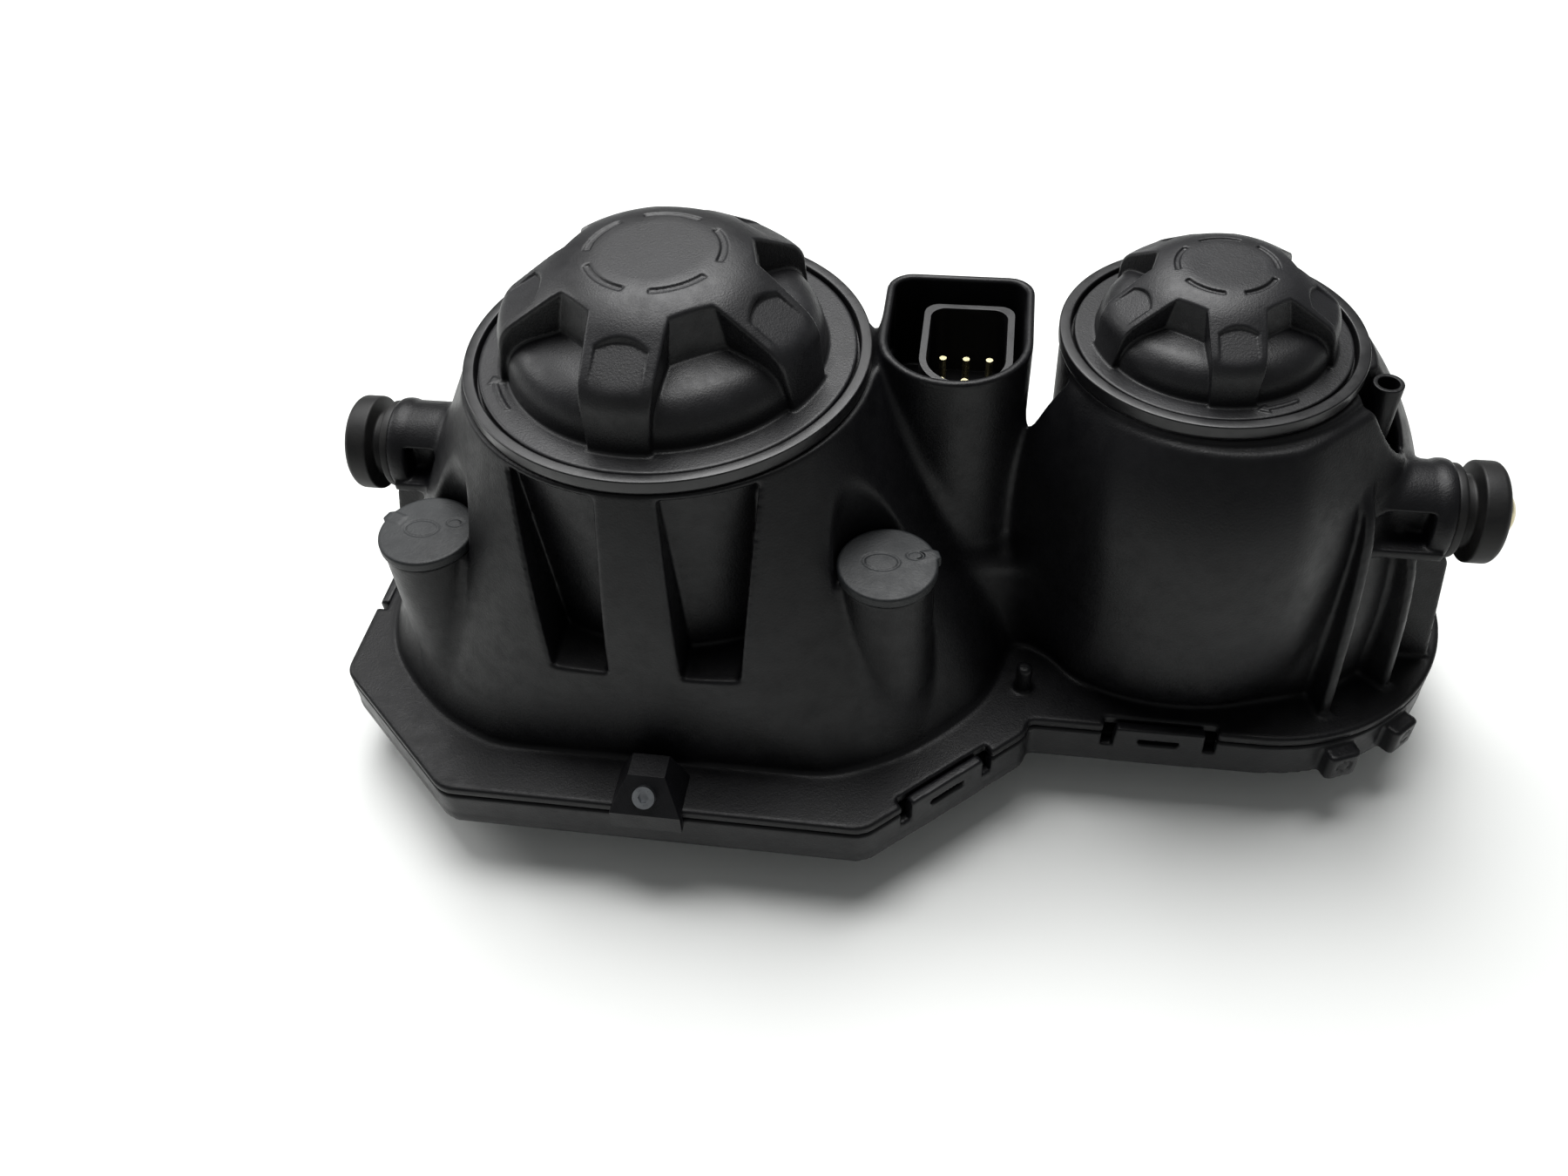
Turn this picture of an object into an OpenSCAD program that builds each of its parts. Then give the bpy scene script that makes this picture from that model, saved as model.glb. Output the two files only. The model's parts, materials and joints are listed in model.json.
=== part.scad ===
// Motorcycle twin headlamp, seen lens down: a large low beam lamp and a small high beam
// lamp in one moulded housing. Z points up through the rear caps, X runs along the two side
// pivots, and the origin is on the lens face that the unit lies on, under their middle.

/* [Layout] */
// Distance between the tips of the two side pivots
pivot_span = 310; // [300:5:350]
// Height of the side pivots above the lens face
pivot_z = 85; // [82:1:92]
// Distance of the large lamp's axis to the left of the middle
large_x = 58; // [54:1:62]
// Distance of the small lamp's axis to the right of the middle
small_x = 76; // [74:1:88]
// Distance of the small lamp's axis behind the large one's
small_y = 17; // [10:1:20]
// Height of the two cap seats above the lens face
ring_z = 123; // [118:1:145]

/* [Flange] */
// Half of the large side's width
large_half_w = 98.5; // [96:0.5:112]
// Half of the large side's depth
large_half_d = 77; // [74:1:88]
// Length of each cut corner along the width
corner_w = 41; // [30:1:46]
// Length of each cut corner along the depth
corner_d = 37; // [28:1:42]
// Radius of the small side's round end
small_r = 54; // [52:1:60]
// Distance from the small lamp's axis to the centre of the round end
small_shift = 26; // [20:1:32]
// Thickness of the housing's flange
flange_t = 3; // [2.4:0.2:4]

/* [Lens and frame] */
// Depth of the clear lens below the frame
lens_drop = 16; // [12:1:24]
// Wall of the clear lens
lens_t = 2.6; // [2:0.2:3.4]
// Height of the snap frame
frame_h = 12; // [11:0.5:15]
// Wall of the snap frame
frame_t = 3; // [2.4:0.2:3.6]
// Thickness of the lens seal
seal_t = 2.4; // [1.6:0.2:3]
// Width of a snap tab
tab_w = 24; // [18:1:28]

/* [Caps] */
// Radius of the large cap's flange
large_cap_r = 47.8; // [44:0.2:49]
// Radius of the small cap's flange
small_cap_r = 33.4; // [31:0.2:35]
// Thickness of a cap's flange
cap_flange_t = 2.4; // [2:0.2:3]
// Wall of a cap's skirt
skirt_t = 2.8; // [2.4:0.2:3.4]
// Number of grip ribs round a cap
rib_count = 5; // [4:1:8]
// Radius of the cord of a cap's sealing ring
cap_seal_r = 0.85; // [0.7:0.05:0.95]
// Angle that a cap turns to open
cap_turn = 45; // [45:1:50]

/* [Housing] */
// Wall of the housing
wall = 2.5; // [2:0.1:3]
// Width of a cap seat's round rim
rim_w = 3.2; // [2.6:0.2:4]
// Radius of the side pivots' barrels
barrel_r = 12.5; // [11:0.5:14]
// Radius of the connector shroud's round front
shroud_r = 19.2; // [18:0.2:20]
// Depth of the connector socket
socket_depth = 28; // [24:1:32]
// Outer radius of the vent pipe
vent_r = 3.7; // [3.2:0.1:4.2]
// Bore radius of the vent pipe
vent_bore_r = 2.5; // [2:0.1:2.7]

/* [Aiming] */
// Distance from the large lamp's axis to each adjuster
post_x = 59.3; // [57:0.5:62]
// Distance of the adjusters in front of the large lamp's axis
post_y = 38; // [34:1:40]
// Height of the adjusters' covers above the lens face
post_z = 90; // [86:1:100]
// Outer radius of an adjuster's tower
post_r = 11.8; // [11:0.2:12.6]
// Radius of an adjuster's thread
screw_r = 2.4; // [2:0.1:2.8]
// Height of the reflector's pivot ball above the lens face
aim_z = 56; // [54:1:60]
// Radius of the reflector's pivot ball
ball_r = 3.5; // [3:0.1:4]

/* [Side pivots] */
// Radius of a rubber bush
bush_r = 13; // [12.5:0.5:15]
// Radius of a metal pin's shank
pin_r = 4; // [3.5:0.1:5]
// Radius of a metal pin's domed head
dome_r = 6.6; // [6:0.2:8]

/* [Reflectors and bulbs] */
// Radius of the large reflector
large_refl_r = 72; // [66:1:74]
// Radius of the small reflector
small_refl_r = 35; // [32:1:38]
// Wall of a reflector
refl_t = 2.2; // [1.8:0.1:2.8]
// Radius of a bulb's glass
glass_r = 6; // [5:0.5:7]
// Radius of a bulb's metal base
base_r = 12; // [11:0.5:13]

/* [Hidden] */
$fn = 64;
over = 1;              // how far a cut runs past the face that it opens
gap = 0.2;             // general assembly clearance
hull_fn = 40;          // segments of the rounds inside a hull

// Lens down to cap: the stack of heights
frame_low = lens_drop;
frame_top = frame_low + frame_h;
flange_z = frame_top;
flange_top = flange_z + flange_t;
lip_t = 2.4;                                    // the frame's lip that holds the lens
tab_proud = 0.3;                                // snap tabs stand out this far
lens_rim_z = frame_low + lip_t;
lens_rim_top = lens_rim_z + lens_t;
seal_in = frame_t + 0.9;                        // inset of the seal from the flange's edge
seal_w = 3.4;
bezel_t = 2.4;
parting = 0.7;                                  // dark line between flange and frame

// Lamp axes and the centre of the small side's round end
large_c = [-large_x, 0];
small_c = [small_x, small_y];
end_c = [small_x + small_shift, small_y + 1];

// Cap seats
groove = 0.8;                                   // dark gap round a cap's flange
neck_in = 4;                                    // step from a cap's flange to its skirt
neck_gap = 0.35;
neck_t = 2.4;
neck_h = 9;
seat_z = ring_z - cap_flange_t - 0.1;
neck_low = seat_z - neck_h;
cap_rise = 1;                                   // how far a cap rises while it opens
lug_gap = cap_rise + 0.2;
lug_h = 2.4;
lug_out = 3.1;
lug_half = 8;                                   // half of a lug's angle
notch_half = 12;
lug_count = 3;
skirt_low = neck_low - lug_gap - lug_h;
cap_seal_depth = 2 * cap_seal_r - neck_gap + 0.2;
window_t = 2.3;
window_r = large_cap_r - neck_in - neck_gap + lug_out + 0.6 + window_t;  // neck seen in the windows

// Cap shape, in shares of the cap's own radius
cap_top = 0.59;
cap_disc = 0.42;
rib_end = 0.86;
rib_end_top = 0.23;
puck_r = 0.80;
puck_top = 0.35;
puck_round = 0.16;
hub_flat = 0.56;
rib_w = 0.38;
dash_r = 0.33;

// Bells
bell_top = ring_z - 4;
bell_slab = 0.5;
foot_corner_r = 16;
foot_in_x = 7;                                  // inset of the large bell's foot
foot_in_y = 16;
small_foot_in = 4;
small_foot_shift = 8;

// Adjusters: shelf, cover and ear heights
shelf_z = post_z - 18;
shelf_t = 4;
post_bore_r = post_r - wall;
cover_t = 3;
journal_r = screw_r + 0.6;
journal_gap = 0.05;
nut_h = 8;
nut_r = 5;
nut_gap = 0.4;
ball_y = 46;

// Reflectors
refl_rim_z = flange_top + 2;
large_focus = 35;
small_focus = 14;
refl_front = 48;
refl_back = 41;
large_vertex = refl_rim_z + large_refl_r * large_refl_r / (4 * large_focus);
small_vertex = refl_rim_z + small_refl_r * small_refl_r / (4 * small_focus);
neck_hole = glass_r + 1.5;
clip_reach = 5;                                 // how far a bulb clip's legs stand out past the base
base_h = 4;
plug_w = 19;
plug_d = 15;
plug_h = 20;
socket_r = 9;
socket_h = 9;

// Connector
shroud_back = 38;
shroud_front = -9;
shroud_x = 13.6;
shroud_t = 2.2;
plug_shell_w = 23.5;
plug_shell_back = 32;
shroud_floor = ring_z - socket_depth;
floor_t = 3;

// Side pivots
collar_x = pivot_span / 2 - 17;                 // outer face of a barrel's collar
collar_t = 3.5;
spigot_r = 6.5;
dome_h = 4.6;
bush_end = pivot_span / 2 - dome_h;

// ---------- outlines ----------

// Corners of a rectangle with cut corners, moved in by d on every side
function cut_corners(w, h, cx, cy, d) =
    let (l = norm([cx, cy]), k = (cy * w + cx * (h - cy)) - l * d,
         x2 = w - d, y2 = h - d, y1 = (k - cy * x2) / cx, x1 = (k - cx * y2) / cy)
    [[x2, -y1], [x2, y1], [x1, y2], [-x1, y2], [-x2, y1], [-x2, -y1], [-x1, -y2], [x1, -y2]];

// The unit's outline, moved in by d
module outline(d = 0) {
    translate(large_c)
        polygon(cut_corners(large_half_w, large_half_d, corner_w, corner_d, d));
    translate(end_c) {
        circle(r = small_r - d);
        translate([-end_c[0], -(small_r - d)]) square([end_c[0], 2 * (small_r - d)]);
    }
}

// A flat ring that follows the outline between two insets
module outline_ring(d_out, d_in, z, h) {
    translate([0, 0, z]) linear_extrude(h) difference() { outline(d_out); outline(d_in); }
}

// Places a child at both side pivots, turned to point outwards along X
module at_pivot(side) {
    translate([0, 0, pivot_z]) rotate([0, side * 90, 0]) children();
}

module at_large(z = 0) { translate([large_c[0], large_c[1], z]) children(); }
module at_small(z = 0) { translate([small_c[0], small_c[1], z]) children(); }
module at_post(side, z = 0) { translate([large_c[0] + side * post_x, -post_y, z]) children(); }

// A wire swept along a list of points, as one closed tube with the given number of sides
function unit(v) = v / norm(v);
function along(points, i) = unit(points[min(i + 1, len(points) - 1)] - points[max(i - 1, 0)]);
function square_to(t) = unit(cross(t, abs(t[2]) < 0.8 ? [0, 0, 1] : [0, 1, 0]));
function wire_frames(points, i = 1, frames = undef) =
    let (f = is_undef(frames) ? [square_to(along(points, 0))] : frames)
    i == len(points) ? f
    : let (t = along(points, i), u = f[i - 1] - t * (f[i - 1] * t))
        wire_frames(points, i + 1, concat(f, [unit(u)]));
function rounded(points, n) = [for (i = [0 : len(points) - 2], k = [0 : n - 1])
    let (a = points[max(i - 1, 0)], b = points[i], c = points[i + 1],
         d = points[min(i + 2, len(points) - 1)], t = k / n)
    (2 * b + (c - a) * t + (2 * a - 5 * b + 4 * c - d) * t * t + (3 * b - a - 3 * c + d) * t * t * t) / 2];

module wire(points, r, sides = 8) {
    path = concat(rounded(points, 4), [points[len(points) - 1]]);
    frames = wire_frames(path);
    n = len(path);
    rings = [for (i = [0 : n - 1], k = [0 : sides - 1])
        let (u = frames[i], v = cross(along(path, i), u), a = k * 360 / sides)
        path[i] + r * (cos(a) * u + sin(a) * v)];
    walls = [for (i = [0 : n - 2], k = [0 : sides - 1])
        let (a = i * sides + k, b = i * sides + (k + 1) % sides) [a, a + sides, b + sides, b]];
    polyhedron(rings, concat([[for (k = [0 : sides - 1]) k]], walls,
        [[for (k = [sides - 1 : -1 : 0]) (n - 1) * sides + k]]));
}

// A bent piece of spring wire: straight bars with ball corners
module bar(points, r) {
    for (i = [0 : len(points) - 1]) translate(points[i]) sphere(r = r);
    for (i = [1 : len(points) - 1]) {
        v = points[i] - points[i - 1];
        l = norm(v);
        translate(points[i - 1]) rotate([0, acos(v[2] / l), atan2(v[1], v[0])]) cylinder(r = r, h = l);
    }
}

// ---------- housing ----------

// A bell's foot stands on the flange; its hollow, moved in by d, runs out below it
function foot_z(d) = d > 0 ? flange_z - over : flange_z;

// Large bell: from the cap seat's circle down to a foot with cut corners
module large_bell(d) {
    fx = large_half_w - foot_in_x - foot_corner_r;
    fy = large_half_d - foot_in_y - foot_corner_r;
    difference() {
        large_bell_hull(d, fx, fy);
        for (side = [-1, 1]) at_post(side, post_z - cover_t - d) cylinder(r = post_r + 1.5 + d, h = ring_z);
    }
}

module large_bell_hull(d, fx, fy) {
    hull() {
        at_large(bell_top - bell_slab) cylinder(r = large_cap_r + rim_w - d, h = bell_slab, $fn = hull_fn);
        for (sx = [-1, 1], sy = [-1, 1]) {
            at_large(foot_z(d)) translate([sx * (fx - 24), sy * fy, 0])
                cylinder(r = foot_corner_r - d, h = bell_slab, $fn = hull_fn / 2);
            at_large(foot_z(d)) translate([sx * fx, sy * (fy - 23), 0])
                cylinder(r = foot_corner_r - d, h = bell_slab, $fn = hull_fn / 2);
        }
    }
}

// Small bell: from the cap seat's circle to a foot that reaches towards the round end
module small_bell(d) {
    hull() {
        at_small(bell_top - bell_slab) cylinder(r = small_cap_r + rim_w - d, h = bell_slab, $fn = hull_fn);
        at_small(foot_z(d)) translate([small_foot_shift, 0, 0])
            cylinder(r = small_r - small_foot_in - d, h = bell_slab, $fn = hull_fn);
        translate([end_c[0] + small_foot_shift, end_c[1], foot_z(d)])
            cylinder(r = small_r - 20 - d, h = bell_slab, $fn = hull_fn);
    }
}

// Barrel-shaped front of the small lamp's chamber
bulge_r = 51;
bulge_top = ring_z - 5;
bulge_knee = 0.55;                              // share of the height where the barrel is widest
function bulge_at(t) = t < bulge_knee ? bulge_r - 1.5 * pow(1 - t / bulge_knee, 2)
    : bulge_r - (bulge_r - small_cap_r - 2) * pow((t - bulge_knee) / (1 - bulge_knee), 2.4);

module bulge(d) {
    h = bulge_top - flange_z - d;
    steps = 10;
    difference() {
        translate([small_c[0] + 3, small_c[1], flange_z]) rotate_extrude()
            polygon(concat([[0, 0]], [for (i = [0 : steps]) [bulge_at(i / steps) - d, h * i / steps]],
                [[0, h]]));
        translate([small_c[0] - 2 * bulge_r, small_c[1] - small_cap_r * 0.42 + d, flange_z - over])
            cube([4 * bulge_r, 2 * bulge_r, bulge_top]);
    }
}

// Tapered windows that show the large lamp's neck, moved out by d
module neck_windows(d) {
    for (side = [-1, 1]) at_large() rotate([90, 0, 0]) linear_extrude(large_half_d)
        polygon([[side * (7.5 - d), ring_z - 5 + d], [side * (30 + d), ring_z - 5 + d],
            [side * (24.5 + d), ring_z - 58 - d], [side * (9.5 - d), ring_z - 58 - d]]);
}

// Round front, flat back: the plan of the connector shroud, moved in by d
module shroud_plan(d) {
    r = shroud_r - d;
    corner = 7 - d / 2;
    translate([shroud_x, 0]) {
        translate([0, shroud_front + shroud_r]) circle(r = r);
        translate([-r, shroud_front + shroud_r])
            square([2 * r, shroud_back - d - corner - shroud_front - shroud_r]);
        translate([-r + corner, shroud_back - d - 2 * corner]) square([2 * (r - corner), 2 * corner]);
        for (sx = [-1, 1]) translate([sx * (r - corner), shroud_back - d - corner]) circle(r = corner);
    }
}

// Rim, ledge and bayonet neck for one cap
module cap_seat(cap_r) {
    inner = cap_r + groove;
    outer = cap_r + rim_w;
    round_r = (outer - inner) / 2;
    neck_r = cap_r - neck_in;
    difference() {
        rotate_extrude() {
            polygon([[neck_r, neck_low], [neck_r, seat_z], [inner, seat_z], [inner, ring_z],
                [outer, ring_z], [outer, bell_top - 3], [outer - wall, bell_top - 3],
                [outer - wall, seat_z - wall], [neck_r + neck_t, seat_z - wall],
                [neck_r + neck_t, neck_low]]);
            translate([inner + round_r, ring_z]) circle(r = round_r);
        }
        for (i = [0 : lug_count - 1]) rotate(i * 360 / lug_count + cap_turn - notch_half)
            translate([0, 0, neck_low - over]) rotate_extrude(angle = 2 * notch_half)
                translate([neck_r - over, 0]) square([lug_out + 1 + over, neck_h + over]);
    }
}

// Side pivot's barrel, collar, spigot and the web down to the flange
module pivot_arm(side) {
    root = side < 0 ? large_x + 44 : small_x + 22;
    at_pivot(side) {
        translate([0, 0, root]) cylinder(r = barrel_r, h = collar_x - root);
        translate([0, 0, collar_x - collar_t]) cylinder(r = bush_r, h = collar_t);
        cylinder(r = spigot_r, h = bush_end - 3);
    }
    web_t = 3.4;
    foot = side < 0 ? large_x + large_half_w - 4 : end_c[0] + small_r - 6;
    translate([0, web_t / 2, 0]) rotate([90, 0, 0]) linear_extrude(web_t)
        polygon([for (p = [[root, flange_top - 1], [foot, flange_top - 1],
            [collar_x + 6.5, pivot_z - bush_r - 4], [collar_x + 5, pivot_z - bush_r - 2],
            [collar_x - 0.5, pivot_z - bush_r - 0.5], [collar_x - 1, pivot_z - bush_r + 4],
            [collar_x - 1, pivot_z], [root, pivot_z]]) [side * p[0], p[1]]]);
    shelf_w = 9;
    translate([min(side * root, side * (collar_x - 1)), -barrel_r - 1.5, pivot_z - 5])
        cube([collar_x - 1 - root, shelf_w, 2.6]);
}

// Two buttress fins between the vent pipe and the right pivot
module fins() {
    fin_t = 3;
    for (f = [[end_c[0] + 13, [[small_y, 31], [-26, 31], [-21, 60], [-7, 97], [small_y, 99]]],
              [end_c[0] + 31, [[small_y, 31], [-14, 31], [-12, 52], [0, 78], [small_y, 80]]]])
        translate([f[0] - fin_t / 2, 0, 0]) rotate([90, 0, 90]) linear_extrude(fin_t)
            polygon([for (p = f[1]) [p[0], max(flange_top - 1, p[1])]]);
}

vent_c = [end_c[0] + 15, small_y - 11];
vent_top = ring_z - 4;
vent_free = 14;                                 // length of pipe that a hose can go over
hose_room = 1.5;                                // space round the pipe for the hose's wall
saddle = [[18, -8], [48, 40], 62];              // block that joins the two chambers

// Scallop in the bell round the free end of the vent pipe
module vent_scallop(d) {
    translate([vent_c[0], vent_c[1], vent_top - vent_free - d])
        cylinder(r = vent_r + hose_room + d, h = ring_z);
}

module housing_outside() {
    translate([0, 0, flange_z]) linear_extrude(flange_t) outline();
    outline_ring(seal_in, seal_in + seal_w - 0.4, lens_rim_top + seal_t,
        flange_z - lens_rim_top - seal_t + over);
    large_bell(0);
    difference() {
        union() {
            small_bell(0);
            bulge(0);
        }
        vent_scallop(0);
    }
    for (side = [-1, 1]) {
        at_post(side, flange_z) cylinder(r = post_r, h = post_z - cover_t - flange_z);
        pivot_arm(side);
    }
    translate([0, 0, flange_z]) linear_extrude(ring_z - flange_z) shroud_plan(0);
    translate([saddle[0][0], saddle[0][1], flange_z])
        cube([saddle[1][0] - saddle[0][0], saddle[1][1] - saddle[0][1], saddle[2] - flange_z]);
    fins();
    translate([vent_c[0], vent_c[1], flange_top + 20]) {
        cylinder(r = vent_r, h = vent_top - flange_top - 20);
        cylinder(r = vent_r + 0.7, h = vent_top - vent_free - flange_top - 20);
    }
    translate([42 - 3.5, -25, flange_z]) cylinder(r = 2.2, h = 12);
}

module housing_inside() {
    difference() {
        large_bell(wall);
        intersection() {
            neck_windows(wall);
            translate([0, 0, -over]) difference() {
                at_large() cylinder(r = 2 * large_cap_r, h = ring_z);
                at_large(-over) cylinder(r = window_r - window_t, h = ring_z + 2 * over);
            }
        }
    }
    difference() {
        union() {
            small_bell(wall);
            bulge(wall);
        }
        vent_scallop(wall);
    }
    translate([0, 0, flange_z - over]) linear_extrude(shroud_floor - floor_t - flange_z + over)
        shroud_plan(wall);
    translate([0, 0, shroud_floor]) linear_extrude(socket_depth + over) shroud_plan(shroud_t);
    translate([saddle[0][0] - 6, saddle[0][1] + wall, flange_z - over])
        cube([saddle[1][0] - saddle[0][0] + 12, saddle[1][1] - saddle[0][1] - 2 * wall,
            saddle[2] - wall - flange_z + over]);
    for (side = [-1, 1]) at_post(side, flange_z - over)
        cylinder(r = post_bore_r, h = shelf_z - flange_z + over);
}

module housing() {
    color("#1c1c1f") difference() {
        union() {
            difference() {
                housing_outside();
                housing_inside();
                difference() {
                    neck_windows(0);
                    at_large(-over) cylinder(r = window_r, h = ring_z + 2 * over);
                }
                at_large(seat_z - wall) cylinder(r = large_cap_r + groove, h = 20);
                at_small(seat_z - wall) cylinder(r = small_cap_r + groove, h = 20);
                at_small(neck_low - 4) cylinder(r = small_cap_r - 0.7, h = 20);
            }
            at_large() cap_seat(large_cap_r);
            at_small() cap_seat(small_cap_r);
            for (side = [-1, 1]) at_post(side, shelf_z)
                cylinder(r = post_r, h = post_z - cover_t - shelf_z);
            at_large(aim_z + ball_r + 6) translate([0, ball_y, 0]) {
                cylinder(r = 4.5, h = skirt_low - aim_z - ball_r - 9);
                translate([-1.5, 0, 0]) cube([3, large_half_d - foot_in_y - wall - ball_y,
                    skirt_low - aim_z - ball_r - 16]);
            }
        }
        // adjuster bores and journals
        for (side = [-1, 1]) at_post(side) {
            translate([0, 0, shelf_z + shelf_t]) cylinder(r = post_bore_r, h = post_z);
            cylinder(r = journal_r + journal_gap, h = post_z);
        }
        // pivot pins' bores
        for (side = [-1, 1]) at_pivot(side) translate([0, 0, collar_x - 12])
            cylinder(r = pin_r + 0.05, h = 60);
        // pivot ball's bore
        at_large(0) translate([0, ball_y, 0]) cylinder(r = 1.85, h = aim_z + ball_r + 22);
        // vent bore, down into the chamber
        translate([vent_c[0], vent_c[1], flange_top + 16]) cylinder(r = vent_bore_r, h = ring_z);
        // latch window in the shroud, and holes for the connector's pins
        translate([shroud_x - shroud_r - over, shroud_back - 22, ring_z - 19])
            cube([shroud_t + 2 * over, 13, 14]);
        for (p = pin_places()) translate([p[0], p[1], shroud_floor - floor_t - over])
            cylinder(r = 1.2, h = floor_t + 2 * over);
        // notches in the flange for the frame's snap tabs
        for (t = tab_places()) place_tab(t) translate([-tab_w / 2 - 3.2, -over - 10, flange_z - 3])
            cube([tab_w + 6.4, over + 10 + frame_t + 0.2, flange_t + 10]);
        // thread for the bracket's screw
        place_screw() translate([0, 0, -12]) cylinder(r = 1.55, h = 12);
    }
}
// ---------- lens frame ----------

// Snap tabs: place on the outline and direction; a tab's own +Y points inwards
diag_mid = [large_c[0] + large_half_w - corner_w / 2, -(large_half_d - corner_d / 2)];
function tab_places() = [
    [[small_c[0], end_c[1] - small_r], 0],
    [[diag_mid[0], diag_mid[1]], atan2(corner_d, corner_w)],
    [[large_c[0] - large_half_w, 0], -90],
    [[large_c[0], large_half_d], 180],
    [[small_c[0] + 6, end_c[1] + small_r], 180]];
module place_tab(t) { translate([t[0][0], t[0][1], 0]) rotate(t[1]) children(); }

module lens_frame() {
    color("#2b2b2f") difference() {
        union() {
            outline_ring(0, frame_t, frame_low, frame_h - parting);
            outline_ring(0, seal_in + seal_w + 1, frame_low, lip_t);
            for (t = tab_places()) place_tab(t) translate([-tab_w / 2, -tab_proud, frame_low + tab_proud])
                cube([tab_w, frame_t, frame_h + flange_t - 1 - tab_proud]);
            // two lugs under the small side
            for (a = [-66, -45]) translate(end_c) rotate(a)
                translate([small_r - frame_t, -3.5, frame_low + 2]) cube([frame_t + 4.5, 7, 7]);
        }
        for (t = tab_places()) place_tab(t) {
            translate([-5.5, -1, flange_z - 4]) cube([11, frame_t + 2, 2.2]);
            for (s = [-1, 1]) translate([s * (tab_w / 2 + 1.7), -1, frame_top + 0.01]) rotate([-90, 0, 0])
                linear_extrude(frame_t + 2)
                polygon([[-1.6, -over], [1.6, -over], [1.6, 0.5], [0, 5.5], [-1.6, 5.5]]);
        }
        // seat for the bracket
        translate([large_c[0] - 9.6, -large_half_d - over, frame_top - 3])
            cube([19.2, frame_t + 2 * over, 4]);
    }
}

module lens_solid(low, top, d) {
    slope = 13;                                 // how far the lens wall leans in
    lens_join = 8;                              // where the small side runs into the large one
    for (big = [0, 1]) hull() for (z = [[low, slope + d], [top - 0.5, d]])
        translate([0, 0, z[0]]) linear_extrude(0.5) if (big == 1) translate(large_c)
            polygon(cut_corners(large_half_w, large_half_d, corner_w, corner_d, z[1]));
        else translate(end_c) {
            circle(r = small_r - z[1], $fn = hull_fn);
            translate([lens_join - end_c[0], -(small_r - z[1])])
                square([end_c[0] - lens_join, 2 * (small_r - z[1])]);
        }
}

module outer_lens() {
    lens_in = seal_in + seal_w + 1.4;
    color("#d7dde0", 0.35) {
        outline_ring(frame_t + 0.3, lens_in + lens_t, lens_rim_z, lens_t);
        difference() {
            lens_solid(0, lens_rim_top, lens_in);
            lens_solid(lens_t, lens_rim_top + 1, lens_in + lens_t);
        }
    }
}

module lens_seal() {
    color("#101012") outline_ring(seal_in, seal_in + seal_w, lens_rim_top, seal_t);
}

module inner_bezel() {
    color("#161618") translate([0, 0, flange_z - bezel_t]) linear_extrude(bezel_t) difference() {
        outline(seal_in + seal_w + 0.1);
        intersection() {
            translate(large_c) circle(r = large_refl_r - 2);
            translate([large_c[0] - large_refl_r, -refl_front + 1])
                square([2 * large_refl_r, refl_front + refl_back - 2]);
        }
        translate(small_c) circle(r = small_refl_r - 1);
    }
}

// Clip bracket that holds the frame to the housing at the front
bracket_y = -large_half_d;
bracket_w = 19;
bracket_top_w = 10;
bracket_h = 8.5;
bracket_out = 2.5;                              // how far it stands in front of the flange
bracket_lean = 4.5;                             // how far its top edge is set back
module place_screw() {
    face_y = bracket_y + (bracket_lean - bracket_out) / 2;
    translate([large_c[0], face_y, flange_top + (bracket_h + 0.3) / 2])
        rotate([90 - atan2(bracket_lean + bracket_out, bracket_h - 0.3), 0, 0]) children();
}

module frame_bracket() {
    color("#242428") difference() {
        hull() {
            translate([large_c[0], bracket_y + bracket_lean, flange_top + bracket_h - 1])
                translate([-bracket_top_w / 2, 0, 0]) cube([bracket_top_w, 7, 1]);
            translate([large_c[0] - bracket_w / 2, bracket_y - bracket_out, frame_top - 2.9])
                cube([bracket_w, 14, flange_t + 3.2]);
        }
        translate([large_c[0] - bracket_w, bracket_y - 0.05, 0]) cube([2 * bracket_w, 30, flange_top]);
        place_screw() translate([0, 0, -14]) cylinder(r = 1.55, h = 30);
    }
}

module bracket_screw() {
    color("#8d8f94") place_screw() difference() {
        union() {
            cylinder(r = 3, h = 2);
            translate([0, 0, -9]) cylinder(r = 1.5, h = 10);
        }
        translate([0, 0, 1]) cylinder(r = 1.5, h = 3, $fn = 6);
    }
}
// ---------- side pivots ----------

module bush(side) {
    at_pivot(side) difference() {
        rotate_extrude() polygon([[spigot_r + 0.05, collar_x + 0.05], [bush_r - 1, collar_x + 0.05],
            [bush_r - 1, collar_x + 2.4], [bush_r - 4, collar_x + 3],
            [bush_r - 4, collar_x + 5.4], [bush_r, collar_x + 6], [bush_r, bush_end - 1.5],
            [bush_r - 1.5, bush_end], [spigot_r + 0.05, bush_end]]);
    }
}
module left_bush() { color("#1a1a1c") bush(-1); }
module right_bush() { color("#1a1a1c") bush(1); }

module pivot_pin(side) {
    at_pivot(side) {
        translate([0, 0, collar_x - 11]) cylinder(r = pin_r, h = bush_end - collar_x + 11.5);
        intersection() {
            translate([0, 0, bush_end]) cylinder(r = dome_r, h = dome_h);
            cap_r = (dome_r * dome_r + dome_h * dome_h) / (2 * dome_h);
            translate([0, 0, bush_end + dome_h - cap_r]) sphere(r = cap_r);
        }
    }
}
module left_pivot_pin() { color("#b8ab86") pivot_pin(-1); }
module right_pivot_pin() { color("#b8ab86") pivot_pin(1); }

// ---------- connector ----------

function pin_places() = [for (ix = [-1, 0, 1], iy = [-1, 1]) [shroud_x + 2.8 + ix * 6, 13 + iy * 4.5]];

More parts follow.
